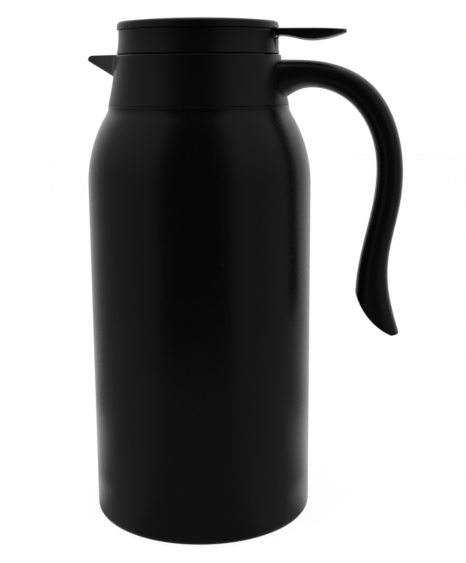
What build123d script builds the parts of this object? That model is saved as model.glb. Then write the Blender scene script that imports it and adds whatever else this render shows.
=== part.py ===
from build123d import *
import math
import os

# Thermal carafe with a flip lid. Millimetres, +Z up, handle towards +X, spout towards -X.
# The origin is the centre of the standing face. A name ending in RISE, DROP, OUT or IN is
# measured from the piece or level that its comment names.

# --- steel body ---------------------------------------------------------------------------
BODY_R = 65.0  # outer radius of the straight body
OUTER_WALL = 0.6  # sheet thickness of the outer shell
FOOT_LIFT = 0.6  # the steel edge stands this far above the pad's standing face
BASE_FILLET = 5.0  # radius of the bottom edge
RIM_IN = 11.0  # the rolled-in bottom rim lies this far inside the body
RIM_HEIGHT = 3.0  # height of that rim
SHOULDER_Z = 200.0  # where the straight body ends
LEDGE_Z = 245.6  # ledge on which the collar stands
LEDGE_R = 52.3  # outer radius of that ledge
SHOULDER_END_OUT = 1.8  # the shoulder's round ends this far outside the ledge
SHOULDER_END_DROP = 6.2  # and this far below it
HOLLOW_OUT = 0.75  # the hollow between shoulder and ledge passes this far outside the ledge
HOLLOW_DROP = 4.3  # and this far below it
BAND_OUT = 0.2  # foot of the nearly upright band under the ledge
BAND_DROP = 2.4
NECK_IN = 11.3  # the steel neck lies this far inside the ledge
NECK_BEND = 2.0  # bend between ledge and neck
NECK_HEIGHT = 16.4  # from the ledge to the steel lip

# --- liner and vacuum space ---------------------------------------------------------------
VACUUM_GAP = 6.9  # between shell and liner
LINER_WALL = 0.5  # sheet thickness of the liner
LINER_SHOULDER_RISE = 16.0  # the liner's side and shoulder lines cross this far above SHOULDER_Z
LINER_SHOULDER_R = 60.0  # round between them
LINER_NECK_IN = 2.5  # liner's neck inside the shell's neck
LINER_NECK_DROP = 4.6  # shoulder and neck lines cross this far below the ledge
LINER_NECK_BEND_R = 12.0  # round between them
LINER_BOTTOM_Z = 11.0  # lowest point of the dished bottom
LINER_CORNER_R = 7.0  # corner of the dished bottom, which is welded on above it
LINER_DOME = 2.5  # rise of the bottom's centre
FOIL_THICKNESS = 0.2
FOIL_GAP = 0.1  # foil to liner
FOIL_MARGIN = 6.0  # bare liner above and below the foil
PAN_WALL = 0.6  # thickness of the outer bottom
PAN_Z = 2.2  # underside of the outer bottom
DIMPLE_R = 9.0  # evacuation dimple in the outer bottom
DIMPLE_RISE = 2.6
PORT_HOLE_R = 1.5  # evacuation hole
SEAL_BEAD_R = 4.0  # bead that closes the hole
SEAL_BEAD_HEIGHT = 1.4
GETTER_R = 4.5
GETTER_HEIGHT = 2.4
GETTER_OFFSET = 26.0  # from the axis
CLIP_LENGTH = 17.0
CLIP_WIDTH = 5.0
CLIP_WALL = 0.5
PAD_IN = 3.5  # the non-slip pad lies this far inside the rim
PAD_CHAMFER = 0.6

# --- collar and spout ---------------------------------------------------------------------
COLLAR_HEIGHT = 28.3
COLLAR_WALL = 2.2
COLLAR_MID_IN = 2.1  # the collar's hollow waist lies this far inside the ledge
COLLAR_MID_RISE = 8.9  # and this far above it
COLLAR_TOP_IN = 4.8  # the collar's top edge lies this far inside the ledge
PARTING_CHAMFER = 0.35  # bevel along the parting lines
GALLERY_RISE = 18.6  # top of the floor between neck ring and collar wall, above the ledge
GALLERY_FLOOR = 1.8  # its thickness
SPOUT_OUT = 18.0  # the beak's tip stands this far outside the collar's top edge
SPOUT_HALF_WIDTH = 18.0  # where the beak leaves the collar
SPOUT_ROOT_IN = 3.5  # the beak starts this far inside the collar's top edge
SPOUT_ROOT_DEPTH = 17.5  # keel of the beak at its root, below the collar's top
SPOUT_TIP_DEPTH = 3.4  # keel at the tip, below the collar's top
SPOUT_TIP_HALF_WIDTH = 2.4
SPOUT_NOSE_R = 2.6  # round of the tip in side view
SPOUT_WALL = 1.9
SPOUT_KEEL_R = 3.0  # round of the keel at the root

# --- neck ring and its gasket -------------------------------------------------------------
SEAT_CLEARANCE = 0.1  # between moulded pieces of the same body
RUN_GAP = 0.3  # between lid and jug
NECK_RING_WALL = 2.4  # sleeve outside the steel neck
NECK_RING_RISE = 2.9  # its lower edge above the ledge
NECK_RING_DROP = 1.3  # its upper edge below the collar's top
NECK_GASKET_HEIGHT = 1.2
NECK_LIP_HEIGHT = 1.4  # lip of the neck ring over the gasket
NECK_LIP_IN = 2.1  # bore of that lip, inside the steel neck
NECK_FLANGE_OUT = 5.0  # the ring's flange outside the steel neck
NECK_FLANGE_HEIGHT = 1.6
THREAD_BORE_OUT = 0.4  # root of the ring's thread outside the steel neck
WINDOW_HALF_WIDTH = 15.5  # pour window of the neck ring

# --- stopper ------------------------------------------------------------------------------
THREAD_DEPTH = 1.8  # from the ring's root to the stopper's root
SKIRT_WALL = 1.8
FLANGE_OUT = 0.7  # stop flange outside the threaded skirt
STOPPER_FLOOR = 1.6  # thickness of the stopper's floor
PLUG_IN = 0.6  # the plug lies this far inside the liner's neck
PLUG_WALL = 1.8
PLUG_HEIGHT = 26.5  # from the stopper's bottom to its floor
BASE_CAP_HEIGHT = 2.0  # stopper_base plate
SPIGOT_HEIGHT = 2.6  # ring of the stopper base inside the plug
GROOVE_RISE = 15.2  # bottom of the gasket groove above the stopper's bottom
GROOVE_HEIGHT = 6.0
GROOVE_DEPTH = 2.3
GASKET_LIP = 1.3  # depth of the gasket's lips
PORT_OFFSET = 23.8  # centre of the pour port, in from the skirt's bore
PORT_R = 9.5  # its bore
PORT_WALL = 1.8
LID_SCREW_IN = 3.7  # circle of the ring's screws, inside the skirt
LID_SCREW_DEGREES = (52.0, 128.0, 232.0, 308.0)
BOSS_R = 3.2
SCREW_R = 1.1  # shank of the small screws
SCREW_HEAD_R = 2.3
SCREW_HEAD_HEIGHT = 1.5
SCREW_LENGTH = 8.0

# --- lid ring and hinge -------------------------------------------------------------------
PARTING_GAP = 0.4  # open line between collar and lid ring
LID_RING_HEIGHT = 13.0
LID_RING_FOOT_IN = 0.8  # lower edge inside the collar's top edge
LID_RING_WAIST_IN = 1.9
LID_RING_TOP_IN = 1.8
LID_RING_WALL = 2.2
LID_FLANGE_HEIGHT = 1.8
HINGE_IN = 1.6  # axis of the flap's hinge inside the ring's waist
HINGE_DROP = 2.9  # and below the ring's top
KNUCKLE_R = 2.0
PIN_R = 1.0
PIN_PLAY = 0.06  # radial play of the lever on the pin
HINGE_HALF_WIDTH = 11.8  # outer faces of the bracket's ears
EAR_WIDTH = 2.8
HOUSING_HALF_WIDTH = 7.6  # hinge housing at the back of the ring
HOUSING_OUT = 0.5  # its back outside the ring's waist
HOUSING_DROP = 2.3  # its top below the hinge's axis
BRACKET_FOOT_LENGTH = 13.0  # from the hinge's axis to the foot's front edge
BRACKET_FOOT_HEIGHT = 2.0
BRACKET_SCREW_IN = 9.0  # from the hinge's axis
BRACKET_SCREW_Y = 4.4
SPRING_WIRE = 0.65  # width of the spring's wire
SPRING_COIL_R = 1.55  # mean radius of the coil
SPRING_TURNS = 3
SPRING_PITCH = 1.2
SPRING_LEG = 1.0

# --- flap ---------------------------------------------------------------------------------
COVER_OUT = 0.7  # the cover's rim outside the ring's top
COVER_GAP = 0.4  # open line between ring and cover
COVER_RIM_HEIGHT = 4.3
COVER_DOME_RISE = 2.2  # crown above the rim
COVER_EDGE_ROUND = 2.0
COVER_FOOT_CHAMFER = 0.5
COVER_WALL = 2.2
PLATE_DROP = 0.8  # underside of the flap plate below the cover's lower edge
PLATE_THICKNESS = 2.0
PLATE_SWING = 1.0  # room between the plate's edge and the ring's bore, in which it swings
SEAL_R = 13.0
SEAL_HEIGHT = 3.0
SEAL_RING_HEIGHT = 1.0  # thicker ring of the seal over the chimney's lip
SEAL_RING_OUT = 0.8  # that ring reaches this far past the lip's outside
SEAL_RING_IN = 1.5  # and past its bore
SEAL_PLAY = 0.3  # closed seal to chimney lip
SEAL_STEM_R = 3.0
SEAL_HEAD_R = 5.0
SEAL_HEAD_HEIGHT = 1.2
FLAP_SCREW_IN = 8.6  # circle of the plate's screws, inside the cover's bore
FLAP_SCREW_DEGREES = (80.0, 180.0, 280.0)
FLAP_BOSS_R = 2.8
# The lever's heights are measured from the hinge's axis, its lengths outwards from it.
LEVER_TOP_RISE = 3.8
LEVER_LENGTH = 40.7
LEVER_ROOT_DROP = 0.6
LEVER_BELLY_LENGTH = 22.0
LEVER_BELLY_DROP = 3.3
LEVER_TIP_RISE = 0.9
LEVER_HALF_WIDTH = 8.6  # at the root, between the ears
LEVER_PAD_HALF_WIDTH = 10.0  # at the thumb pad
LEVER_PAD_LENGTH = 24.7  # from the tip to where the pad is widest
LEVER_TIP_DROP = 0.8  # slope of the upper side at the tip
LEVER_TIP_SLOPE = 2.0
TONGUE_LENGTH = 16.0  # tongue under the cover, inwards from the hinge's axis
TONGUE_SCREW_IN = 10.5
TONGUE_SCREW_Y = 5.0

# --- handle -------------------------------------------------------------------------------
# spine of the handle from its root to its free end: x from the axis, height above the ledge
HANDLE_SPINE = (
    (46.0, 14.2),
    (57.0, 16.7),
    (69.0, 16.8),
    (93.0, 6.3),
    (108.3, -21.1),
    (109.3, -53.4),
    (103.0, -85.6),
    (101.7, -108.6),
    (106.5, -137.6),
)
# half depth and half width of the section at each of those points
HANDLE_HALF_DEPTHS = (11.6, 8.5, 7.4, 7.7, 7.4, 7.7, 8.1, 9.8, 12.3)
HANDLE_HALF_WIDTHS = (15.0, 12.4, 11.5, 11.5, 11.5, 11.5, 11.5, 11.5, 11.5)
HANDLE_STEPS = 3  # sections from each of those points to the next
HANDLE_HOLLOW = (1, 6)  # points between which the handle is hollow
HANDLE_WALL = 2.4
HANDLE_COVER_WIDTH = 14.0
HANDLE_COVER_DEPTH = 2.6
# slanted, convex foot face: upper end, belly and toe, as x and height above the ledge
HANDLE_FOOT = ((90.4, -102.8), (98.6, -120.1), (113.4, -132.2))
HANDLE_SCREW_RISE = 10.4  # above the ledge
HANDLE_SCREW_Y = 6.5
HANDLE_SCREW_R = 1.4
HANDLE_SCREW_HEAD_R = 2.7
HANDLE_SCREW_HEAD_HEIGHT = 1.7
HANDLE_SCREW_LENGTH = 9.0

# --- values that follow -------------------------------------------------------------------
RIM_R = BODY_R - RIM_IN
PAD_R = RIM_R - PAD_IN
NECK_R = LEDGE_R - NECK_IN
MOUTH_Z = LEDGE_Z + NECK_HEIGHT
LINER_R = BODY_R - OUTER_WALL - VACUUM_GAP
LINER_SHOULDER_Z = SHOULDER_Z + LINER_SHOULDER_RISE
LINER_SEAM_Z = LINER_BOTTOM_Z + LINER_CORNER_R
LINER_NECK_R = NECK_R - LINER_NECK_IN
LINER_NECK_Z = LEDGE_Z - LINER_NECK_DROP
NECK_INNER_R = LINER_NECK_R - LINER_WALL
COLLAR_TOP_R = LEDGE_R - COLLAR_TOP_IN
COLLAR_TOP_Z = LEDGE_Z + COLLAR_HEIGHT
GALLERY_Z = LEDGE_Z + GALLERY_RISE
SPOUT_REACH = COLLAR_TOP_R + SPOUT_OUT
SPOUT_ROOT_X = COLLAR_TOP_R - SPOUT_ROOT_IN
NECK_RING_R = NECK_R + SEAT_CLEARANCE + NECK_RING_WALL
NECK_RING_TOP_Z = COLLAR_TOP_Z - NECK_RING_DROP
NECK_LIP_R = NECK_R - NECK_LIP_IN
THREAD_BORE_R = NECK_R + THREAD_BORE_OUT
GASKET_TOP_Z = MOUTH_Z + NECK_GASKET_HEIGHT
LIP_TOP_Z = GASKET_TOP_Z + NECK_LIP_HEIGHT
SKIRT_R = THREAD_BORE_R - THREAD_DEPTH
SKIRT_BORE_R = SKIRT_R - SKIRT_WALL
STOPPER_FLOOR_Z = LIP_TOP_Z + RUN_GAP
STOPPER_FLOOR_TOP_Z = STOPPER_FLOOR_Z + STOPPER_FLOOR
PLUG_R = NECK_INNER_R - PLUG_IN
PLUG_BOTTOM_Z = STOPPER_FLOOR_Z - PLUG_HEIGHT
GROOVE_Z = PLUG_BOTTOM_Z + GROOVE_RISE
PORT_X = PORT_OFFSET - SKIRT_BORE_R
PORT_OUTER_R = PORT_R + PORT_WALL
LID_SCREW_PCR = SKIRT_R - LID_SCREW_IN
LID_RING_Z = COLLAR_TOP_Z + PARTING_GAP
LID_RING_TOP_Z = LID_RING_Z + LID_RING_HEIGHT
LID_RING_FOOT_R = COLLAR_TOP_R - LID_RING_FOOT_IN
LID_RING_WAIST_R = COLLAR_TOP_R - LID_RING_WAIST_IN
LID_RING_TOP_R = COLLAR_TOP_R - LID_RING_TOP_IN
LID_FLANGE_TOP_Z = LID_RING_Z + LID_FLANGE_HEIGHT
HINGE_X = LID_RING_WAIST_R - HINGE_IN
HINGE_Z = LID_RING_TOP_Z - HINGE_DROP
HOUSING_TOP_Z = HINGE_Z - HOUSING_DROP
BRACKET_FOOT_X = HINGE_X - BRACKET_FOOT_LENGTH
BRACKET_SCREW_X = HINGE_X - BRACKET_SCREW_IN
TONGUE_FRONT_X = HINGE_X - TONGUE_LENGTH
TONGUE_SCREW_X = HINGE_X - TONGUE_SCREW_IN
COVER_R = LID_RING_TOP_R + COVER_OUT
COVER_BORE_R = COVER_R - COVER_WALL
COVER_BOTTOM_Z = LID_RING_TOP_Z + COVER_GAP
COVER_EDGE_Z = COVER_BOTTOM_Z + COVER_RIM_HEIGHT
PLATE_Z = COVER_BOTTOM_Z - PLATE_DROP
PLATE_TOP_Z = PLATE_Z + PLATE_THICKNESS
PLATE_R = LID_RING_TOP_R - LID_RING_WALL - PLATE_SWING
PORT_TOP_Z = PLATE_Z - SEAL_HEIGHT - SEAL_PLAY
LEVER_TOP_Z = HINGE_Z + LEVER_TOP_RISE
LEVER_ROOT_X = HINGE_X + KNUCKLE_R
HUGE = 200.0

CENTRED = (Align.CENTER, Align.CENTER, Align.MIN)


def cylinder(radius, low, high, x=0.0, y=0.0):
    """Upright cylinder between two heights."""
    return Pos(x, y, low) * Cylinder(radius, high - low, align=CENTRED)


def tube(outer, inner, low, high, x=0.0, y=0.0):
    return cylinder(outer, low, high, x, y) - cylinder(inner, low, high, x, y)


def block(x_low, x_high, half_width, z_low, z_high):
    """Box that is centred on the plane of the handle."""
    size = (x_high - x_low, 2 * half_width, z_high - z_low)
    return Pos((x_low + x_high) / 2, 0, z_low) * Box(*size, align=CENTRED)


def turned(*points):
    """Body of revolution about Z from the corners (radius, height) of its profile."""
    return revolve(Plane.XZ * make_face(Polyline(*points, close=True)), Axis.Z)


def across(face, half_width):
    """Extrude a face drawn in the XZ plane to both sides."""
    return extrude(Plane.XZ * face, half_width, both=True)


def chords(curve, steps):
    """Points that divide a plane curve into equal lengths."""
    return [tuple(curve @ (i / steps))[:2] for i in range(steps + 1)]


def round_points(x, z, radius, first, last, steps):
    """Points on a round about (x, z), from one angle to another in degrees, as chords."""
    points = []
    for i in range(steps + 1):
        turn = math.radians(first + (last - first) * i / steps)
        points.append((x + radius * math.cos(turn), z + radius * math.sin(turn)))
    return points


# --- jug ----------------------------------------------------------------------------------
def body_outline(inset, base_steps, shoulder_steps):
    """Outer shell's outline from its bottom rim to its lip, moved inwards by inset."""
    low = FOOT_LIFT + inset
    rim = RIM_R - OUTER_WALL + inset
    side_in = BODY_R - LEDGE_R - SHOULDER_END_OUT
    height = LEDGE_Z - SHOULDER_END_DROP - SHOULDER_Z
    arc = (height**2 + side_in**2) / (2 * side_in)
    turn = math.degrees(math.asin(height / arc))
    base_r = BASE_FILLET
    bend = NECK_BEND - 0.41 * inset
    points = [(rim, FOOT_LIFT + RIM_HEIGHT), (rim, low)]
    points += round_points(BODY_R - base_r, FOOT_LIFT + base_r, base_r - inset, -90, 0, base_steps)
    points += round_points(BODY_R - arc, SHOULDER_Z, arc - inset, 0, turn, shoulder_steps)
    points += [
        (LEDGE_R + HOLLOW_OUT - inset, LEDGE_Z - HOLLOW_DROP - inset / 2),
        (LEDGE_R + BAND_OUT - inset, LEDGE_Z - BAND_DROP - inset / 2),
        (LEDGE_R - inset, LEDGE_Z - inset),
        (NECK_R + bend, LEDGE_Z - inset),
        (NECK_R - inset, LEDGE_Z + bend),
        (NECK_R - inset, MOUTH_Z - LINER_WALL),
    ]
    return points


def outer_shell():
    outside = body_outline(0.0, 3, 5)
    inside = body_outline(OUTER_WALL, 2, 3)
    return turned(*outside, *reversed(inside))


def outer_base():
    """Pressed bottom, welded into the rolled rim, with the evacuation dimple."""
    edge = RIM_R - OUTER_WALL
    top = PAN_Z + PAN_WALL
    shoulder = DIMPLE_R - DIMPLE_RISE
    return turned(
        (PORT_HOLE_R, PAN_Z + DIMPLE_RISE),
        (shoulder, PAN_Z + DIMPLE_RISE),
        (DIMPLE_R, PAN_Z),
        (edge, PAN_Z),
        (edge, top),
        (DIMPLE_R + PAN_WALL, top),
        (shoulder + PAN_WALL, top + DIMPLE_RISE),
        (PORT_HOLE_R, top + DIMPLE_RISE),
    )


def vacuum_seal():
    ceiling = PAN_Z + DIMPLE_RISE
    bead = cylinder(SEAL_BEAD_R, ceiling - SEAL_BEAD_HEIGHT, ceiling)
    return chamfer(bead.edges().group_by(Axis.Z)[0], SEAL_BEAD_HEIGHT / 2)


def getter():
    floor = PAN_Z + PAN_WALL + CLIP_WALL
    return cylinder(GETTER_R, floor, floor + GETTER_HEIGHT, GETTER_OFFSET)


def getter_clip():
    """Spring strip under the getter, turned up at both ends to hold it."""
    floor = PAN_Z + PAN_WALL
    half = CLIP_LENGTH / 2
    strip = block(GETTER_OFFSET - half, GETTER_OFFSET + half, CLIP_WIDTH / 2, floor, floor + CLIP_WALL)
    inner = GETTER_R + SEAT_CLEARANCE
    for side in (-1, 1):
        x = GETTER_OFFSET + side * (inner + CLIP_WALL / 2)
        height = CLIP_WALL + GETTER_HEIGHT
        strip += Pos(x, 0, floor) * Box(CLIP_WALL, CLIP_WIDTH, height, align=CENTRED)
    return strip


def base_pad():
    pad = cylinder(PAD_R, 0.0, PAN_Z)
    return chamfer(pad.edges().group_by(Axis.Z)[0], PAD_CHAMFER)


def shoulder_turn():
    """Degrees by which the liner's shoulder leans in from the upright side."""
    return math.degrees(math.atan2(LINER_R - LINER_NECK_R, LINER_NECK_Z - LINER_SHOULDER_Z))


def shoulder_start():
    """Height at which the liner's straight side ends."""
    return LINER_SHOULDER_Z - LINER_SHOULDER_R * math.tan(math.radians(shoulder_turn() / 2))


def liner_outline(inset, shoulder_steps, neck_steps):
    """Liner's side, shoulder and neck, from the weld to the mouth, moved inwards by inset."""
    turn = shoulder_turn()
    round_r = LINER_SHOULDER_R
    bend_r = LINER_NECK_BEND_R
    bend_z = LINER_NECK_Z + bend_r * math.tan(math.radians(turn / 2))
    points = [(LINER_R - inset, LINER_SEAM_Z)]
    points += round_points(LINER_R - round_r, shoulder_start(), round_r - inset, 0, turn, shoulder_steps)
    points += round_points(
        LINER_NECK_R + bend_r, bend_z, bend_r + inset, 180 + turn, 180, neck_steps
    )
    return points


def inner_flask():
    """Drawn liner; its lip turns out over the neck of the outer shell."""
    under_lip = MOUTH_Z - LINER_WALL
    lip = [
        (LINER_NECK_R, under_lip),
        (NECK_R, under_lip),
        (NECK_R, MOUTH_Z),
        (NECK_INNER_R, MOUTH_Z),
    ]
    return turned(*liner_outline(0.0, 3, 2), *lip, *reversed(liner_outline(LINER_WALL, 3, 2)))


def dish_outline(inset):
    """Outline of the liner's bottom from its raised centre to the weld."""
    side = LINER_R - inset
    low = LINER_BOTTOM_Z + inset
    corner = LINER_CORNER_R - inset
    centre_r = side - corner
    return [(0, low + LINER_DOME)] + round_points(centre_r, low + corner, corner, -90, 0, 3)


def inner_flask_base():
    return turned(*dish_outline(0.0), *reversed(dish_outline(LINER_WALL)))


def radiation_foil():
    inner = LINER_R + FOIL_GAP
    return tube(inner + FOIL_THICKNESS, inner, LINER_SEAM_Z + FOIL_MARGIN, shoulder_start() - FOIL_MARGIN)


# --- collar -------------------------------------------------------------------------------
def collar_outline(inset, steps):
    """Side line of the collar from the ledge to its top, as chords of one slack curve."""
    waist = ThreePointArc(
        (LEDGE_R - SEAT_CLEARANCE - inset, LEDGE_Z),
        (LEDGE_R - COLLAR_MID_IN - inset, LEDGE_Z + COLLAR_MID_RISE),
        (COLLAR_TOP_R - inset, COLLAR_TOP_Z),
    )
    return chords(waist, steps)


def collar_wall():
    wall = turned(*collar_outline(0.0, 4), *reversed(collar_outline(COLLAR_WALL, 2)))
    rims = wall.edges().filter_by(GeomType.CIRCLE)
    outer_low = rims.group_by(Axis.Z)[0].sort_by(SortBy.RADIUS)[-1]
    return chamfer(outer_low, PARTING_CHAMFER)


def collar_core():
    """Everything within the collar's outer surface."""
    return turned(*collar_outline(0.0, 4), (0, COLLAR_TOP_Z), (0, LEDGE_Z))


def beak_section(x, half_width, keel_z, keel_r):
    """V section of the beak at a distance from the axis, with a rounded keel."""
    top = COLLAR_TOP_Z + PARTING_GAP
    outline = Polyline((-half_width, top), (0, keel_z), (half_width, top), close=True)
    face = make_face(outline)
    keel = face.vertices().sort_by(Axis.Y)[0]
    plane = Plane(origin=(-x, 0, 0), x_dir=(0, 1, 0), z_dir=(1, 0, 0))
    return plane * fillet(keel, keel_r)


def beak(inset):
    """Beak of the spout, or with an inset the channel inside it."""
    slope = (SPOUT_ROOT_DEPTH - SPOUT_TIP_DEPTH) / (SPOUT_REACH - SPOUT_ROOT_X)
    rise = inset * math.hypot(1.0, slope) * 1.3
    narrow = inset * 1.25
    root_keel = COLLAR_TOP_Z - SPOUT_ROOT_DEPTH + rise
    root = beak_section(SPOUT_ROOT_X, SPOUT_HALF_WIDTH - narrow, root_keel, SPOUT_KEEL_R)
    tip_keel = COLLAR_TOP_Z - SPOUT_TIP_DEPTH + rise * 0.35
    tip_half = SPOUT_TIP_HALF_WIDTH - inset * 0.4
    tip = beak_section(SPOUT_REACH, tip_half, tip_keel, SPOUT_KEEL_R / 8)
    return loft([root, tip])


def beak_nose():
    """Side outline of the beak, which rounds its tip."""
    top = COLLAR_TOP_Z
    deep = LEDGE_Z
    reach = SPOUT_REACH
    outline = Polyline((0, deep), (0, top), (-reach, top), (-reach, deep), close=True)
    face = make_face(outline)
    corner = face.vertices().sort_by(Axis.X)[:2].sort_by(Axis.Y)[-1]
    return across(fillet(corner, SPOUT_NOSE_R), HUGE)


def gallery_floor():
    """Floor inside the collar, between its wall and the neck ring."""
    bore = NECK_RING_R + SEAT_CLEARANCE
    plate = cylinder(LEDGE_R, GALLERY_Z - GALLERY_FLOOR, GALLERY_Z) & collar_core()
    return plate - cylinder(bore, LEDGE_Z, COLLAR_TOP_Z)


def handle_screw_seat():
    """Distance from the axis at which the heads of the handle's screws bear on the collar."""
    wall = Polyline(*collar_outline(COLLAR_WALL, 2))
    top = LEDGE_Z + HANDLE_SCREW_RISE + HANDLE_SCREW_HEAD_R
    level = Line((0, top), (HUGE, top))
    radius = wall.distance_to_with_closest_points(level)[1].X
    edge = HANDLE_SCREW_Y + HANDLE_SCREW_HEAD_R
    return math.sqrt(radius**2 - edge**2)


def handle_screw_holes(radius):
    holes = Part()
    depth = handle_screw_seat() + HANDLE_SCREW_LENGTH
    for side in (-1, 1):
        hole = Rot(0, 90, 0) * Cylinder(radius, depth, align=CENTRED)
        holes += Pos(0, side * HANDLE_SCREW_Y, LEDGE_Z + HANDLE_SCREW_RISE) * hole
    return holes


def collar():
    channel = beak(SPOUT_WALL) - cylinder(HUGE, 0, GALLERY_Z)
    spout = (beak(0.0) & beak_nose()) - cylinder(NECK_RING_R + SEAT_CLEARANCE, 0, HUGE * 2)
    body = collar_wall() + gallery_floor() + spout
    body -= channel
    body -= handle_screw_holes(HANDLE_SCREW_R + SEAT_CLEARANCE)
    return body


def neck_ring():
    """Ring on the steel neck. It clamps the collar and takes the thread of the lid."""
    sleeve_r = NECK_R + SEAT_CLEARANCE
    low = LEDGE_Z + NECK_RING_RISE
    flange_r = NECK_R + NECK_FLANGE_OUT
    ring = turned(
        (sleeve_r, low),
        (NECK_RING_R, low),
        (NECK_RING_R, GALLERY_Z),
        (flange_r, GALLERY_Z),
        (flange_r, GALLERY_Z + NECK_FLANGE_HEIGHT),
        (NECK_RING_R, GALLERY_Z + NECK_FLANGE_HEIGHT),
        (NECK_RING_R, NECK_RING_TOP_Z),
        (THREAD_BORE_R, NECK_RING_TOP_Z),
        (THREAD_BORE_R, LIP_TOP_Z),
        (NECK_LIP_R, LIP_TOP_Z),
        (NECK_LIP_R, GASKET_TOP_Z),
        (sleeve_r, GASKET_TOP_Z),
    )
    window = block(-HUGE, -SKIRT_R / 2, WINDOW_HALF_WIDTH, LIP_TOP_Z, HUGE * 2)
    channel = block(-HUGE, -NECK_RING_R, WINDOW_HALF_WIDTH, GALLERY_Z, HUGE * 2)
    return ring - window - channel


def neck_gasket():
    return tube(NECK_R, NECK_INNER_R + SEAT_CLEARANCE, MOUTH_Z, GASKET_TOP_Z)


# --- handle -------------------------------------------------------------------------------
def handle_stations():
    """Planes, half depths and half widths along the spine; local y points outwards."""
    points = [Vector(x, 0, LEDGE_Z + rise) for x, rise in HANDLE_SPINE]
    spine = Spline(*points)
    marks = [spine.param_at_point(point) for point in points]
    stations = []
    for i in range(len(points) - 1):
        for k in range(HANDLE_STEPS):
            share = k / HANDLE_STEPS
            mark = marks[i] + (marks[i + 1] - marks[i]) * share
            depth = HANDLE_HALF_DEPTHS[i] * (1 - share) + HANDLE_HALF_DEPTHS[i + 1] * share
            width = HANDLE_HALF_WIDTHS[i] * (1 - share) + HANDLE_HALF_WIDTHS[i + 1] * share
            plane = Plane(origin=spine @ mark, x_dir=(0, 1, 0), z_dir=spine % mark)
            stations.append((plane, depth, width))
    end = Plane(origin=spine @ 1, x_dir=(0, 1, 0), z_dir=spine % 1)
    stations.append((end, HANDLE_HALF_DEPTHS[-1], HANDLE_HALF_WIDTHS[-1]))
    return stations


def handle_form(inset, stations):
    """Handle body through its oval sections, which the inset makes smaller."""
    sections = []
    for plane, depth, width in stations:
        sections.append(plane * Ellipse(width - inset, depth - inset))
    return loft(sections, ruled=True)


def handle_strip(stations):
    """Band along the inner side of the handle that the cover fills."""
    sections = []
    for plane, depth, width in stations:
        middle = depth - HANDLE_COVER_DEPTH + HANDLE_WALL * 2
        section = Rectangle(HANDLE_COVER_WIDTH, HANDLE_WALL * 4)
        sections.append(plane * Pos(0, -middle) * section)
    return loft(sections, ruled=True)


def foot_cutter():
    """Everything below the slanted, convex end face."""
    corner, belly, toe = [(x, LEDGE_Z + rise) for x, rise in HANDLE_FOOT]
    beyond = toe[0] + 30.0
    below = toe[1] - 40.0
    left = corner[0] - 30.0
    outline = Polyline(
        *chords(ThreePointArc(corner, belly, toe), 4),
        (beyond, toe[1] + 4.0),
        (beyond, below),
        (left, below),
        (left, corner[1]),
        close=True,
    )
    return across(make_face(outline), HUGE)


def handle_parts():
    """Outer moulding and the strip that closes it on the inner side."""
    stations = handle_stations()
    solid = handle_form(0.0, stations) - foot_cutter() - collar_core()
    end = HANDLE_HOLLOW[1] * HANDLE_STEPS + 1
    cavity = handle_form(HANDLE_WALL, stations[HANDLE_HOLLOW[0] * HANDLE_STEPS : end])
    band = handle_strip(stations[(HANDLE_HOLLOW[0] + 1) * HANDLE_STEPS : end])
    cover = (solid & band) - cavity
    shell = solid - band - cavity
    shell -= handle_screw_holes(HANDLE_SCREW_R)
    return shell, cover


def handle_screws():
    screws = Part()
    seat = handle_screw_seat()
    head = Pos(0, 0, -HANDLE_SCREW_HEAD_HEIGHT) * Cylinder(
        HANDLE_SCREW_HEAD_R, HANDLE_SCREW_HEAD_HEIGHT, align=CENTRED
    )
    screw = Rot(0, 90, 0) * (head + Cylinder(HANDLE_SCREW_R, HANDLE_SCREW_LENGTH, align=CENTRED))
    for side in (-1, 1):
        screws += Pos(seat, side * HANDLE_SCREW_Y, LEDGE_Z + HANDLE_SCREW_RISE) * screw
    return screws


# --- stopper ------------------------------------------------------------------------------
def pour_port(radius, low, high):
    return cylinder(radius, low, high, PORT_X)


def ring_places(radius, angles):
    """Places (x, y) on a circle about the axis."""
    places = []
    for angle in angles:
        turn = math.radians(angle)
        places.append((radius * math.cos(turn), radius * math.sin(turn)))
    return places


def lid_screw_places():
    """Screws that hold the lid ring on the stopper."""
    return ring_places(LID_SCREW_PCR, LID_SCREW_DEGREES)


def bracket_screw_places():
    return [(BRACKET_SCREW_X, -BRACKET_SCREW_Y), (BRACKET_SCREW_X, BRACKET_SCREW_Y)]


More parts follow.
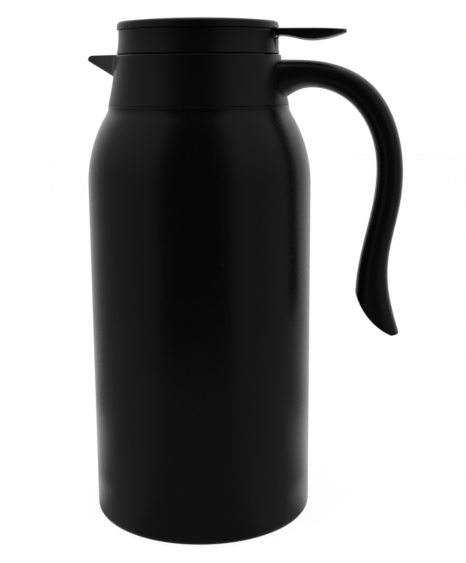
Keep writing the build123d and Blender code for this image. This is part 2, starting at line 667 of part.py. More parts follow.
def stopper():
    """Threaded cup with a chimney for the pour port and a window towards the spout."""
    groove_r = PLUG_R - GROOVE_DEPTH
    groove_top = GROOVE_Z + GROOVE_HEIGHT
    inner_wide = PLUG_R - PLUG_WALL
    inner_narrow = groove_r - PLUG_WALL
    plug_low = PLUG_BOTTOM_Z + BASE_CAP_HEIGHT
    flange_r = SKIRT_R + FLANGE_OUT
    body = turned(
        (inner_wide, plug_low),
        (PLUG_R, plug_low),
        (PLUG_R, GROOVE_Z),
        (groove_r, GROOVE_Z),
        (groove_r, groove_top),
        (PLUG_R, groove_top),
        (PLUG_R, STOPPER_FLOOR_Z),
        (flange_r, STOPPER_FLOOR_Z),
        (flange_r, STOPPER_FLOOR_TOP_Z),
        (SKIRT_R, STOPPER_FLOOR_TOP_Z),
        (SKIRT_R, LID_RING_Z),
        (SKIRT_BORE_R, LID_RING_Z),
        (SKIRT_BORE_R, STOPPER_FLOOR_TOP_Z),
        (0, STOPPER_FLOOR_TOP_Z),
        (0, STOPPER_FLOOR_Z),
        (inner_narrow, STOPPER_FLOOR_Z),
        (inner_narrow, GROOVE_Z - PLUG_WALL),
        (inner_wide, GROOVE_Z - PLUG_WALL),
    )
    body += pour_port(PORT_OUTER_R, PLUG_BOTTOM_Z, PORT_TOP_Z)
    for x, y in lid_screw_places():
        body += cylinder(BOSS_R, STOPPER_FLOOR_Z, LID_RING_Z, x, y)
    pad_low = BRACKET_FOOT_X + SEAT_CLEARANCE
    rear_pad = block(pad_low, SKIRT_R - SKIRT_WALL / 2, HOUSING_HALF_WIDTH, STOPPER_FLOOR_Z, LID_RING_Z)
    body += rear_pad & cylinder(SKIRT_R, 0, HUGE * 2)
    window = block(-HUGE, -SKIRT_R / 2, WINDOW_HALF_WIDTH, STOPPER_FLOOR_TOP_Z, NECK_RING_TOP_Z)
    body -= window - cylinder(SKIRT_BORE_R, 0, HUGE * 2)
    body -= pour_port(PORT_R, 0, HUGE * 2)
    for x, y in lid_screw_places() + bracket_screw_places():
        body -= cylinder(SCREW_R, LID_RING_Z - SCREW_LENGTH, HUGE * 2, x, y)
    return body


def stopper_base():
    """Cap under the stopper; its ring plugs into the wall and keeps the insulation in."""
    low = PLUG_BOTTOM_Z
    plate_top = low + BASE_CAP_HEIGHT
    spigot_r = PLUG_R - PLUG_WALL - SEAT_CLEARANCE
    cap = cylinder(PLUG_R, low, plate_top)
    cap = chamfer(cap.edges().group_by(Axis.Z)[0], BASE_CAP_HEIGHT / 3)
    cap += tube(spigot_r, spigot_r - PLUG_WALL, plate_top, plate_top + SPIGOT_HEIGHT)
    return cap - pour_port(PORT_OUTER_R + SEAT_CLEARANCE, 0, HUGE * 2)


def stopper_insulation():
    """Foam that fills the stopper round its chimney."""
    outer = PLUG_R - GROOVE_DEPTH - PLUG_WALL - SEAT_CLEARANCE
    low = PLUG_BOTTOM_Z + BASE_CAP_HEIGHT
    foam = cylinder(outer, low, STOPPER_FLOOR_Z)
    return foam - pour_port(PORT_OUTER_R + SEAT_CLEARANCE, 0, HUGE * 2)


def stopper_gasket():
    """Soft ring in the groove with two lips towards the steel neck."""
    play = RUN_GAP / 2
    inner = PLUG_R - GROOVE_DEPTH + RUN_GAP
    lip = NECK_INNER_R - RUN_GAP
    low = GROOVE_Z + play
    high = GROOVE_Z + GROOVE_HEIGHT - play
    step = (high - low) / 4
    valley = lip - GASKET_LIP
    return turned(
        (inner, low),
        (valley, low),
        (lip, low + step),
        (valley, low + 1.6 * step),
        (valley, low + 2.2 * step),
        (lip, low + 3.2 * step),
        (valley, high),
        (inner, high),
    )


# --- lid ring and hinge -------------------------------------------------------------------
def lid_ring_outline(inset, steps):
    """Side line of the waisted ring from its foot to its top, as chords of one slack curve."""
    waist = ThreePointArc(
        (LID_RING_FOOT_R - inset, LID_RING_Z),
        (LID_RING_WAIST_R + 0.1 - inset, (LID_RING_Z + LID_RING_TOP_Z) / 2 + 1.4),
        (LID_RING_TOP_R - inset, LID_RING_TOP_Z),
    )
    return chords(waist, steps)


def lid_ring():
    """Waisted ring with a flange that is screwed on the stopper."""
    ring = turned(*lid_ring_outline(0.0, 3), *reversed(lid_ring_outline(LID_RING_WALL, 1)))
    ring += tube(LID_RING_FOOT_R - LID_RING_WALL, SKIRT_BORE_R, LID_RING_Z, LID_FLANGE_TOP_Z)
    for x, y in lid_screw_places():
        ring += cylinder(BOSS_R, LID_RING_Z, LID_FLANGE_TOP_Z, x, y)
    lug = block(BRACKET_FOOT_X, SKIRT_BORE_R + 1, HOUSING_HALF_WIDTH, LID_RING_Z, LID_FLANGE_TOP_Z)
    ring += lug
    wide = HINGE_HALF_WIDTH + 2 * RUN_GAP
    low = HINGE_Z - KNUCKLE_R - RUN_GAP
    notch = block(HINGE_X / 2, HUGE, wide, low, HUGE * 2)
    housing = block(HINGE_X / 2, HUGE, HOUSING_HALF_WIDTH + SEAT_CLEARANCE, LID_FLANGE_TOP_Z, HUGE * 2)
    ring -= notch
    ring -= housing
    for x, y in lid_screw_places() + bracket_screw_places():
        ring -= cylinder(SCREW_R + SEAT_CLEARANCE, 0, HUGE * 2, x, y)
    return ring


def hinge_axis_rod(radius, half_width):
    rod = Cylinder(radius, 2 * half_width)
    return Pos(HINGE_X, 0, HINGE_Z) * Rot(90, 0, 0) * rod


def hinge_bracket():
    """Hinge housing at the back of the lid: foot, upright and two ears for the pin."""
    low = LID_FLANGE_TOP_Z
    foot_top = low + BRACKET_FOOT_HEIGHT
    shelf_z = HINGE_Z - KNUCKLE_R
    ring_inside = LID_RING_WAIST_R - LID_RING_WALL - SEAT_CLEARANCE
    foot = block(BRACKET_FOOT_X, HINGE_X, HOUSING_HALF_WIDTH, low, foot_top)
    upright = block(HINGE_X - PIN_R, HUGE, HOUSING_HALF_WIDTH, low, HOUSING_TOP_Z)
    upright &= cylinder(LID_RING_WAIST_R + HOUSING_OUT, 0, HUGE * 2)
    cheek_x = BRACKET_SCREW_X + SCREW_HEAD_R + RUN_GAP
    ears = block(cheek_x, HUGE, HINGE_HALF_WIDTH, foot_top, shelf_z) & cylinder(ring_inside, 0, HUGE * 2)
    ears += block(cheek_x, HINGE_X, HINGE_HALF_WIDTH, shelf_z, HINGE_Z)
    ears += hinge_axis_rod(KNUCKLE_R, HINGE_HALF_WIDTH)
    ears -= block(0, HUGE, HINGE_HALF_WIDTH - EAR_WIDTH, foot_top, HUGE * 2)
    ears &= cylinder(COVER_R, 0, HUGE * 2)
    cross = block(cheek_x, HUGE, HINGE_HALF_WIDTH, low, foot_top) & cylinder(ring_inside, 0, HUGE * 2)
    bracket = foot + cross + upright + ears
    bracket -= hinge_axis_rod(PIN_R, HUGE)
    for x, y in bracket_screw_places():
        bracket -= cylinder(SCREW_R + SEAT_CLEARANCE, 0, HUGE * 2, x, y)
    return bracket


def hinge_pin():
    return hinge_axis_rod(PIN_R, HINGE_HALF_WIDTH)


def torsion_spring():
    """Coil round the pin; one leg bears on the bracket, the other turns into the lever."""
    height = SPRING_TURNS * SPRING_PITCH
    path = Helix(SPRING_PITCH, height, SPRING_COIL_R)
    profile = Plane(origin=path @ 0, z_dir=path % 0) * Rectangle(SPRING_WIRE, SPRING_WIRE)
    coil = Pos(HINGE_X, height / 2, HINGE_Z) * Rot(90, 0, 0) * sweep(profile, path, is_frenet=True)
    leg_x = HINGE_X + SPRING_COIL_R
    lower = cylinder(SPRING_WIRE / 2, HOUSING_TOP_Z, HINGE_Z, leg_x, height / 2)
    upper = cylinder(SPRING_WIRE / 2, HINGE_Z, HINGE_Z + SPRING_LEG, leg_x, -height / 2)
    return coil + lower + upper


def small_screw(length):
    """Screw that points down, its head resting at height zero."""
    head = cylinder(SCREW_HEAD_R, 0, SCREW_HEAD_HEIGHT)
    head = chamfer(head.edges().group_by(Axis.Z)[-1], SCREW_HEAD_HEIGHT / 3)
    return head + cylinder(SCREW_R, -length, 0)


def lid_screws():
    screws = Part()
    screw = small_screw(SCREW_LENGTH)
    for x, y in lid_screw_places():
        screws += Pos(x, y, LID_FLANGE_TOP_Z) * screw
    for x, y in bracket_screw_places():
        screws += Pos(x, y, LID_FLANGE_TOP_Z + BRACKET_FOOT_HEIGHT) * screw
    return screws


# --- flap ---------------------------------------------------------------------------------
def plate_screw_places():
    """Screws through the flap plate, pointing up into the cover."""
    return ring_places(COVER_BORE_R - FLAP_SCREW_IN, FLAP_SCREW_DEGREES)


def tongue_screw_places():
    return [(TONGUE_SCREW_X, -TONGUE_SCREW_Y), (TONGUE_SCREW_X, TONGUE_SCREW_Y)]


def dome_outline(radius, edge_z, steps):
    """Shallow dome from the axis to the rim, as chords."""
    crown_z = edge_z + COVER_DOME_RISE
    dome = ThreePointArc(
        (0, crown_z), (radius / 2, edge_z + COVER_DOME_RISE * 0.75), (radius, edge_z)
    )
    return chords(dome, steps)


def flap_cover():
    """Domed round cover with a rounded rim and screw bosses on its underside."""
    rim_r = COVER_EDGE_ROUND
    foot = COVER_FOOT_CHAMFER
    top = dome_outline(COVER_R - rim_r, COVER_EDGE_Z, 2)
    rim = round_points(COVER_R - rim_r, COVER_EDGE_Z - rim_r, rim_r, 90, 0, 2)
    under = dome_outline(COVER_BORE_R, COVER_EDGE_Z - COVER_WALL, 1)
    cover = turned(
        *top[:-1],
        *rim,
        (COVER_R, COVER_BOTTOM_Z + foot),
        (COVER_R - foot, COVER_BOTTOM_Z),
        (COVER_BORE_R, COVER_BOTTOM_Z),
        *reversed(under),
    )
    places = plate_screw_places() + tongue_screw_places()
    for x, y in places:
        cover += cylinder(FLAP_BOSS_R, PLATE_TOP_Z, COVER_EDGE_Z - COVER_WALL / 4, x, y)
    for x, y in places:
        cover -= cylinder(SCREW_R, 0, PLATE_Z + SCREW_LENGTH / 2, x, y)
    notch = block(HINGE_X / 2, HUGE, LEVER_HALF_WIDTH + SEAT_CLEARANCE, 0, LEVER_TOP_Z + SEAT_CLEARANCE)
    return cover - notch


def flap_plate():
    """Flat plate that closes the cover from below and carries the seal."""
    plate = cylinder(PLATE_R, PLATE_Z, PLATE_TOP_Z)
    gap = SEAT_CLEARANCE
    plate -= block(TONGUE_FRONT_X - gap, HUGE, LEVER_HALF_WIDTH + gap, 0, HUGE * 2)
    plate -= cylinder(SEAL_STEM_R, 0, HUGE * 2, PORT_X)
    for x, y in plate_screw_places():
        plate -= cylinder(SCREW_R + gap, 0, HUGE * 2, x, y)
    return plate


def flap_screws():
    screws = Part()
    screw = Rot(180, 0, 0) * small_screw(SCREW_LENGTH / 2)
    for x, y in plate_screw_places() + tongue_screw_places():
        screws += Pos(x, y, PLATE_Z) * screw
    return screws


def lever_side_face():
    """Side view of the lever: flat top, belly under the thumb pad, rising to the tip."""
    root_x = LEVER_ROOT_X
    root_z = HINGE_Z - LEVER_ROOT_DROP
    belly_x = HINGE_X + LEVER_BELLY_LENGTH
    belly_z = HINGE_Z - LEVER_BELLY_DROP
    tip_x = HINGE_X + LEVER_LENGTH
    tip_z = HINGE_Z + LEVER_TIP_RISE
    outline = Polyline(
        (root_x, LEVER_TOP_Z),
        (root_x, root_z),
        ((root_x * 2 + belly_x) / 3, (root_z * 2 + belly_z) / 3),
        ((root_x + belly_x * 3) / 4, belly_z + (root_z - belly_z) / 8),
        (belly_x, belly_z),
        ((belly_x * 3 + tip_x) / 4, belly_z + (tip_z - belly_z) * 0.15),
        ((belly_x + tip_x * 2) / 3, belly_z + (tip_z - belly_z) * 0.46),
        (tip_x, tip_z),
        (tip_x, LEVER_TOP_Z - LEVER_TIP_DROP),
        (tip_x - LEVER_TIP_SLOPE, LEVER_TOP_Z),
        close=True,
    )
    return make_face(outline)


def lever_plan_face():
    """Plan view of the lever: straight root, wider pad, round tip."""
    half = LEVER_HALF_WIDTH
    pad = LEVER_PAD_HALF_WIDTH
    root_x = LEVER_ROOT_X
    tip_x = HINGE_X + LEVER_LENGTH
    start_x = tip_x - LEVER_PAD_LENGTH
    round_x = tip_x - pad
    sides = Polyline((round_x, -pad), (start_x, -pad), (root_x, -half), (root_x, half), (start_x, pad))
    sides += Line((start_x, pad), (round_x, pad))
    return make_face(sides + ThreePointArc((round_x, pad), (tip_x, 0), (round_x, -pad)))


def thumb_lever():
    """Thumb pad, hinge knuckle and the tongue that is screwed under the cover."""
    plan = Pos(0, 0, HINGE_Z - HUGE / 2) * extrude(lever_plan_face(), HUGE)
    pad = across(lever_side_face(), HUGE / 2) & plan
    half = LEVER_HALF_WIDTH
    knuckle = hinge_axis_rod(KNUCKLE_R, half)
    web = block(HINGE_X - KNUCKLE_R, LEVER_ROOT_X, half, HINGE_Z, LEVER_TOP_Z)
    tongue = block(TONGUE_FRONT_X, LEVER_ROOT_X, half, PLATE_Z, LEVER_TOP_Z)
    heel = block(HINGE_X, LEVER_ROOT_X, half, HINGE_Z - LEVER_ROOT_DROP, LEVER_TOP_Z)
    lever = pad + knuckle + web + tongue + heel
    lever -= hinge_axis_rod(PIN_R + PIN_PLAY, HUGE)
    slot_half = SPRING_TURNS * SPRING_PITCH / 2 + SPRING_WIRE
    slot_r = SPRING_COIL_R + SPRING_WIRE * 1.35
    lever -= hinge_axis_rod(slot_r, slot_half)
    lever -= block(HINGE_X - KNUCKLE_R, HINGE_X, slot_half, 0, HINGE_Z)
    for x, y in tongue_screw_places():
        lever -= cylinder(SCREW_R + SEAT_CLEARANCE, 0, HUGE * 2, x, y)
    return lever


def flap_seal():
    """Soft disc with a thicker ring that closes on the chimney's lip."""
    low = PORT_TOP_Z + SEAL_PLAY
    top_of_ring = low + SEAL_RING_HEIGHT
    disc = cylinder(SEAL_R, top_of_ring, PLATE_Z, PORT_X)
    ring = tube(PORT_OUTER_R + SEAL_RING_OUT, PORT_R - SEAL_RING_IN, low, top_of_ring, PORT_X)
    return disc + ring - cylinder(SEAL_STEM_R, 0, HUGE * 2, PORT_X)


def seal_retainer():
    """Button through seal and plate that holds the seal."""
    under = PORT_TOP_Z + SEAL_PLAY + SEAL_RING_HEIGHT
    button = cylinder(SEAL_HEAD_R, under - SEAL_HEAD_HEIGHT, under, PORT_X)
    button = chamfer(button.edges().group_by(Axis.Z)[0], SEAL_HEAD_HEIGHT / 3)
    button += cylinder(SEAL_STEM_R, under, PLATE_TOP_Z, PORT_X)
    button += cylinder(SEAL_HEAD_R, PLATE_TOP_Z, PLATE_TOP_Z + SEAL_HEAD_HEIGHT, PORT_X)
    return button


if __name__ == "__main__":
    os.makedirs("parts", exist_ok=True)
    shell, cover = handle_parts()
    parts = {
        "outer_shell": outer_shell(),
        "outer_base": outer_base(),
        "vacuum_seal": vacuum_seal(),
        "getter": getter(),
        "getter_clip": getter_clip(),
        "base_pad": base_pad(),
        "inner_flask": inner_flask(),
        "inner_flask_base": inner_flask_base(),
        "radiation_foil": radiation_foil(),
        "collar": collar(),
        "neck_ring": neck_ring(),
        "neck_gasket": neck_gasket(),
        "handle_shell": shell,
        "handle_cover": cover,
        "handle_screws": handle_screws(),
        "stopper": stopper(),
        "stopper_base": stopper_base(),
        "stopper_insulation": stopper_insulation(),
        "stopper_gasket": stopper_gasket(),
        "lid_ring": lid_ring(),
        "hinge_bracket": hinge_bracket(),
        "hinge_pin": hinge_pin(),
        "torsion_spring": torsion_spring(),
        "lid_screws": lid_screws(),
        "flap_cover": flap_cover(),
        "flap_plate": flap_plate(),
        "thumb_lever": thumb_lever(),
        "flap_seal": flap_seal(),
        "seal_retainer": seal_retainer(),
        "flap_screws": flap_screws(),
    }
    for name, solid in parts.items():
        export_step(solid, f"parts/{name}.step")
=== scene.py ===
import math
from collections import namedtuple

import bmesh
import bpy
from mathutils import Matrix, Vector


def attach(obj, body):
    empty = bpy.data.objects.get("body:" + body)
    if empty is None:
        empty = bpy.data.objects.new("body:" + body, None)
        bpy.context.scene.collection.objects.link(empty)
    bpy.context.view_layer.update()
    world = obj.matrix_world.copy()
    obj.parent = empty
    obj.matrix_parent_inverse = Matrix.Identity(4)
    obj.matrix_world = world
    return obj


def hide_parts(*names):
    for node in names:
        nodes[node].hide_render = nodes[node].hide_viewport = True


# Thermal carafe with a flip lid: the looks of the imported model. Shapes are written in
# millimetres and built in metres, in the model's own frame: +Z up, handle towards +X.
# The studio's places are in metres.

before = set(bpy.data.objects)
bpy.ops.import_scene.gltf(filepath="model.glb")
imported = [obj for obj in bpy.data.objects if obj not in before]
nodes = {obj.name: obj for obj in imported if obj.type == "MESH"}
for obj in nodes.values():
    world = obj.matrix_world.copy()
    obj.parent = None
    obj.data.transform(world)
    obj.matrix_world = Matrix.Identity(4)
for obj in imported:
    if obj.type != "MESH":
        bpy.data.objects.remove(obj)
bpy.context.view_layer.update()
MM = 0.001


# --- materials ----------------------------------------------------------------------------
CLOUDS_PER_METRE = 22.0
NOISE_SPREAD = (0.3, 0.7)  # where nearly all of a noise's values lie


def new_material(name, colour, roughness, metallic=0.0, specular=0.5):
    """Material with its plain values on the shader's own sockets."""
    material = bpy.data.materials.new(name)
    material.use_nodes = True
    shader = material.node_tree.nodes["Principled BSDF"]
    shader.inputs["Base Color"].default_value = (*colour, 1.0)
    shader.inputs["Roughness"].default_value = roughness
    shader.inputs["Metallic"].default_value = metallic
    shader.inputs["Specular IOR Level"].default_value = specular
    return material


def object_coordinates(tree, stretch=(1.0, 1.0, 1.0)):
    """Coordinates on the object in metres, stretched along its axes."""
    source = tree.nodes.new("ShaderNodeTexCoord")
    mapping = tree.nodes.new("ShaderNodeMapping")
    mapping.inputs["Scale"].default_value = stretch
    tree.links.new(source.outputs["Object"], mapping.inputs["Vector"])
    return mapping.outputs["Vector"]


def noise(tree, vector, scale, detail=2.0, rough=0.5):
    """Noise value, scale grains per metre."""
    node = tree.nodes.new("ShaderNodeTexNoise")
    node.inputs["Scale"].default_value = scale
    node.inputs["Detail"].default_value = detail
    node.inputs["Roughness"].default_value = rough
    tree.links.new(vector, node.inputs["Vector"])
    return node.outputs["Fac"]


def map_range(tree, value, source, target, smooth=False):
    """Carry a value from one range, (low, high), over to another."""
    node = tree.nodes.new("ShaderNodeMapRange")
    if smooth:
        node.interpolation_type = "SMOOTHSTEP"
    node.inputs["From Min"].default_value, node.inputs["From Max"].default_value = source
    node.inputs["To Min"].default_value, node.inputs["To Max"].default_value = target
    tree.links.new(value, node.inputs["Value"])
    return node.outputs["Result"]


def calculate(tree, operation, first, second):
    """Result of one sum, product or other operation on two values."""
    node = tree.nodes.new("ShaderNodeMath")
    node.operation = operation
    tree.links.new(first, node.inputs[0])
    tree.links.new(second, node.inputs[1])
    return node.outputs[0]


def blend_colours(tree, value, first, second):
    """First colour at 0, second at 1."""
    node = tree.nodes.new("ShaderNodeMix")
    node.data_type = "RGBA"
    node.inputs["A"].default_value = (*first, 1.0)
    node.inputs["B"].default_value = (*second, 1.0)
    tree.links.new(value, node.inputs["Factor"])
    return node.outputs["Result"]


def grain_bump(tree, height, distance):
    """Normal of a surface with a grain, distance metres deep."""
    bump = tree.nodes.new("ShaderNodeBump")
    bump.inputs["Strength"].default_value = 1.0
    bump.inputs["Distance"].default_value = distance
    tree.links.new(height, bump.inputs["Height"])
    return bump.outputs["Normal"]


def grained(name, dark, light, rough, grain, depth, specular=0.5, metallic=0.0, stretch=(1, 1, 1)):
    """Surface with a fine grain: cloudy colour, uneven gloss and a small bump.

    rough is the range of roughness, grain the grains per metre, depth their height in metres.
    """
    material = new_material(name, dark, sum(rough) / 2, metallic, specular)
    tree = material.node_tree
    shader = tree.nodes["Principled BSDF"]
    vector = object_coordinates(tree, stretch)
    clouds = noise(tree, vector, CLOUDS_PER_METRE, 3.0, 0.6)
    fine = noise(tree, vector, grain, 2.0, 0.55)
    gloss = noise(tree, vector, grain / 6, 3.0)
    share = map_range(tree, clouds, NOISE_SPREAD, (0.0, 1.0))
    tree.links.new(blend_colours(tree, share, dark, light), shader.inputs["Base Color"])
    tree.links.new(map_range(tree, gloss, NOISE_SPREAD, rough), shader.inputs["Roughness"])
    tree.links.new(grain_bump(tree, fine, depth), shader.inputs["Normal"])
    return material


# dark and light colour, range of roughness, grain, depth, specular level, metallic, stretch
GRAINS = {
    "powder_coat": (
        (0.0016, 0.0016, 0.0017), (0.0022, 0.0022, 0.0023), (0.22, 0.28), 2600, 0.00003, 0.25,
    ),
    "shell_plastic": (
        (0.0017, 0.0017, 0.0018), (0.0022, 0.0022, 0.0022), (0.32, 0.40), 3600, 0.00002, 0.25,
    ),
    "inner_plastic": (
        (0.006, 0.006, 0.0062), (0.008, 0.008, 0.0082), (0.40, 0.52), 3600, 0.00002, 0.4,
    ),
    "foot_rubber": (
        (0.010, 0.010, 0.010), (0.016, 0.016, 0.015), (0.65, 0.85), 1500, 0.00005, 0.3,
    ),
    "silicone": ((0.42, 0.43, 0.42), (0.50, 0.50, 0.49), (0.40, 0.55), 900, 0.00003, 0.45),
    "foam": ((0.62, 0.61, 0.56), (0.74, 0.73, 0.68), (0.85, 0.95), 700, 0.0002, 0.3),
    "raw_steel": (
        (0.46, 0.46, 0.45), (0.54, 0.54, 0.53), (0.24, 0.38), 900, 0.00002, 0.5, 1.0, (1, 1, 6),
    ),
    "polished_steel": (
        (0.56, 0.56, 0.55), (0.62, 0.62, 0.61), (0.14, 0.24), 500, 0.00001, 0.5, 1.0, (1, 1, 9),
    ),
    "screw_steel": (
        (0.48, 0.48, 0.47), (0.56, 0.56, 0.55), (0.22, 0.34), 2200, 0.00001, 0.5, 1.0,
    ),
    "spring_steel": (
        (0.36, 0.36, 0.35), (0.44, 0.43, 0.42), (0.24, 0.36), 2600, 0.00001, 0.5, 1.0,
    ),
    "foil": ((0.70, 0.70, 0.69), (0.80, 0.80, 0.79), (0.16, 0.32), 160, 0.0003, 0.5, 1.0),
    "getter_metal": (
        (0.20, 0.20, 0.21), (0.28, 0.28, 0.28), (0.50, 0.70), 2400, 0.00005, 0.5, 1.0,
    ),
    "solder_glass": (
        (0.16, 0.17, 0.15), (0.22, 0.22, 0.20), (0.12, 0.24), 600, 0.00003, 0.5,
    ),
}
SLOTS = {name: grained(name, *values) for name, values in GRAINS.items()}


# --- mesh tools ---------------------------------------------------------------------------
def link_object(name, data):
    """New object in the scene with a mesh, a lamp or a camera as its data."""
    obj = bpy.data.objects.new(name, data)
    bpy.context.scene.collection.objects.link(obj)
    return obj


def new_piece(name, verts, faces):
    """Object from points in millimetres, with its faces turned outwards."""
    mesh = bpy.data.meshes.new(name)
    mesh.from_pydata([(x * MM, y * MM, z * MM) for x, y, z in verts], [], faces)
    work = bmesh.new()
    work.from_mesh(mesh)
    bmesh.ops.remove_doubles(work, verts=work.verts, dist=0.002 * MM)
    bmesh.ops.dissolve_degenerate(work, edges=work.edges, dist=0.001 * MM)
    bmesh.ops.recalc_face_normals(work, faces=work.faces)
    work.to_mesh(mesh)
    work.free()
    return link_object(name, mesh)


def loft_rings(name, rings, closed=False):
    """Skin over rings with equal point counts; closed joins the last ring to the first."""
    count = len(rings[0])
    verts = [point for ring in rings for point in ring]
    faces = []
    for i in range(len(rings) - (0 if closed else 1)):
        low = i * count
        high = (i + 1) % len(rings) * count
        for k in range(count):
            n = (k + 1) % count
            faces.append((low + k, low + n, high + n, high + k))
    if not closed:
        faces.append(tuple(range(count)))
        faces.append(tuple(range(len(verts) - count, len(verts))))
    return new_piece(name, verts, faces)


def lathe(name, profile, steps=144):
    """Closed profile (radius, height) turned about the upright axis."""
    rings = []
    for i in range(steps):
        turn = 2 * math.pi * i / steps
        rings.append([(r * math.cos(turn), r * math.sin(turn), z) for r, z in profile])
    return loft_rings(name, rings, closed=True)


def bar(name, low, high):
    """Straight-sided block, used to cut and to join."""
    x0, y0, z0 = low
    x1, y1, z1 = high
    ring_low = [(x0, y0, z0), (x1, y0, z0), (x1, y1, z0), (x0, y1, z0)]
    ring_high = [(x, y, z1) for x, y, _ in ring_low]
    return loft_rings(name, [ring_low, ring_high])


def rod(name, radius, start, end, steps=32):
    """Round bar between two points."""
    axis = Vector(end) - Vector(start)
    turn = axis.to_track_quat("Z", "Y")
    rings = []
    for place in (Vector(start), Vector(end)):
        ring = []
        for i in range(steps):
            angle = 2 * math.pi * i / steps
            spoke = Vector((radius * math.cos(angle), radius * math.sin(angle), 0))
            ring.append(tuple(place + turn @ spoke))
        rings.append(ring)
    return loft_rings(name, rings)


def combine(obj, other, operation):
    """Join, cut or intersect two closed pieces; the second one is used up."""
    modifier = obj.modifiers.new("combine", "BOOLEAN")
    modifier.operation = operation
    modifier.object = other
    modifier.solver = "EXACT"
    scene_now = bpy.context.evaluated_depsgraph_get()
    mesh = bpy.data.meshes.new_from_object(obj.evaluated_get(scene_now))
    obj.modifiers.clear()
    obj.data = mesh
    bpy.data.objects.remove(other)
    return obj


def posts(obj, places, radius, low, high, operation, steps=24):
    """Upright round bars at places (x, y), joined to a piece or cut out of it."""
    for x, y in places:
        combine(obj, rod("post", radius, (x, y, low), (x, y, high), steps), operation)


def dress(obj, slot, body, replaced=(), angle=32.0):
    """Give a finished piece its material, its body and the nodes that it stands for.

    Edges sharper than angle, in degrees, stay crisp.
    """
    mesh = obj.data
    mesh.materials.clear()
    mesh.materials.append(SLOTS[slot])
    for face in mesh.polygons:
        face.use_smooth = True
        face.material_index = 0
    mesh.set_sharp_from_angle(angle=math.radians(angle))
    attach(obj, body)
    if replaced:
        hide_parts(*replaced)
    return obj


def around(radius, angles):
    """Places (x, y) on a circle, at angles in degrees."""
    turns = [math.radians(angle) for angle in angles]
    return [(radius * math.cos(turn), radius * math.sin(turn)) for turn in turns]


def between(first, last, share):
    """Value at a share of the way from the first to the last."""
    return first * (1 - share) + last * share


def round_over(share):
    """Fall of a quarter round of radius 1, along its way from 0 to 1."""
    return 1 - math.sqrt(max(1 - share**2, 0.0))


def soft_max(a, b, reach):
    """The larger value, with a round where the two come within reach of each other."""
    near = max(reach - abs(a - b), 0.0) / reach
    return max(a, b) + near * near * reach / 4


def arc(x, z, radius, first, last, steps):
    """Points of a round about (x, z), in degrees."""
    points = []
    for i in range(steps + 1):
        turn = math.radians(first + (last - first) * i / steps)
        points.append((x + radius * math.cos(turn), z + radius * math.sin(turn)))
    return points


def through(first, middle, last, steps):
    """Points of the round through three points."""
    (ax, az), (bx, bz), (cx, cz) = first, middle, last
    d = 2 * (ax * (bz - cz) + bx * (cz - az) + cx * (az - bz))
    aa, bb, cc = ax * ax + az * az, bx * bx + bz * bz, cx * cx + cz * cz
    ox = (aa * (bz - cz) + bb * (cz - az) + cc * (az - bz)) / d
    oz = (aa * (cx - bx) + bb * (ax - cx) + cc * (bx - ax)) / d
    radius = math.hypot(ax - ox, az - oz)
    start = math.atan2(az - oz, ax - ox)
    sweep = (math.atan2(cz - oz, cx - ox) - start + math.pi) % (2 * math.pi) - math.pi
    return arc(ox, oz, radius, math.degrees(start), math.degrees(start + sweep), steps)


def bend(start, out, end, into, steps):
    """Smooth curve between two points that leaves and arrives along two vectors."""
    points = []
    for i in range(steps + 1):
        t = i / steps
        a, b = 2 * t**3 - 3 * t**2 + 1, t**3 - 2 * t**2 + t
        c, d = -2 * t**3 + 3 * t**2, t**3 - t**2
        points.append(tuple(a * start[k] + b * out[k] + c * end[k] + d * into[k] for k in (0, 1)))
    return points


def rounded(corners, steps=5):
    """Polyline (x, z, radius) with its corners rounded."""
    points = []
    last = len(corners) - 1
    for i, (x, z, radius) in enumerate(corners):
        if radius == 0 or i in (0, last):
            points.append((x, z))
            continue
        here = Vector((x, z))
        back = (Vector(corners[i - 1][:2]) - here).normalized()
        ahead = (Vector(corners[i + 1][:2]) - here).normalized()
        half = back.angle(ahead) / 2
        reach = radius / math.tan(half)
        centre = here + (back + ahead).normalized() * radius / math.sin(half)
        first = here + back * reach - centre
        total = first.angle_signed(here + ahead * reach - centre)
        for k in range(steps + 1):
            turn = -total * k / steps
            cos, sin = math.cos(turn), math.sin(turn)
            out_x = first.x * cos - first.y * sin
            out_z = first.x * sin + first.y * cos
            points.append((centre.x + out_x, centre.y + out_z))
    return points


def natural_spline(marks, values):
    """Second derivatives of the smooth curve through values at marks."""
    n = len(marks)
    second = [0.0] * n
    factor = [0.0] * n
    for i in range(1, n - 1):
        share = (marks[i] - marks[i - 1]) / (marks[i + 1] - marks[i - 1])
        p = share * second[i - 1] + 2.0
        second[i] = (share - 1.0) / p
        slope = (values[i + 1] - values[i]) / (marks[i + 1] - marks[i])
        slope -= (values[i] - values[i - 1]) / (marks[i] - marks[i - 1])
        factor[i] = (6.0 * slope / (marks[i + 1] - marks[i - 1]) - share * factor[i - 1]) / p
    for i in range(n - 2, -1, -1):
        second[i] = second[i] * second[i + 1] + factor[i]
    return second


def spline_at(marks, values, second, mark):
    """Value and slope of that curve at one mark."""
    i = max(k for k in range(len(marks) - 1) if marks[k] <= mark + 1e-9)
    h = marks[i + 1] - marks[i]
    a, b = (marks[i + 1] - mark) / h, (mark - marks[i]) / h
    value = a * values[i] + b * values[i + 1]
    value += ((a**3 - a) * second[i] + (b**3 - b) * second[i + 1]) * h * h / 6
    slope = (values[i + 1] - values[i]) / h
    slope += ((1 - 3 * a * a) * second[i] + (3 * b * b - 1) * second[i + 1]) * h / 6
    return value, slope


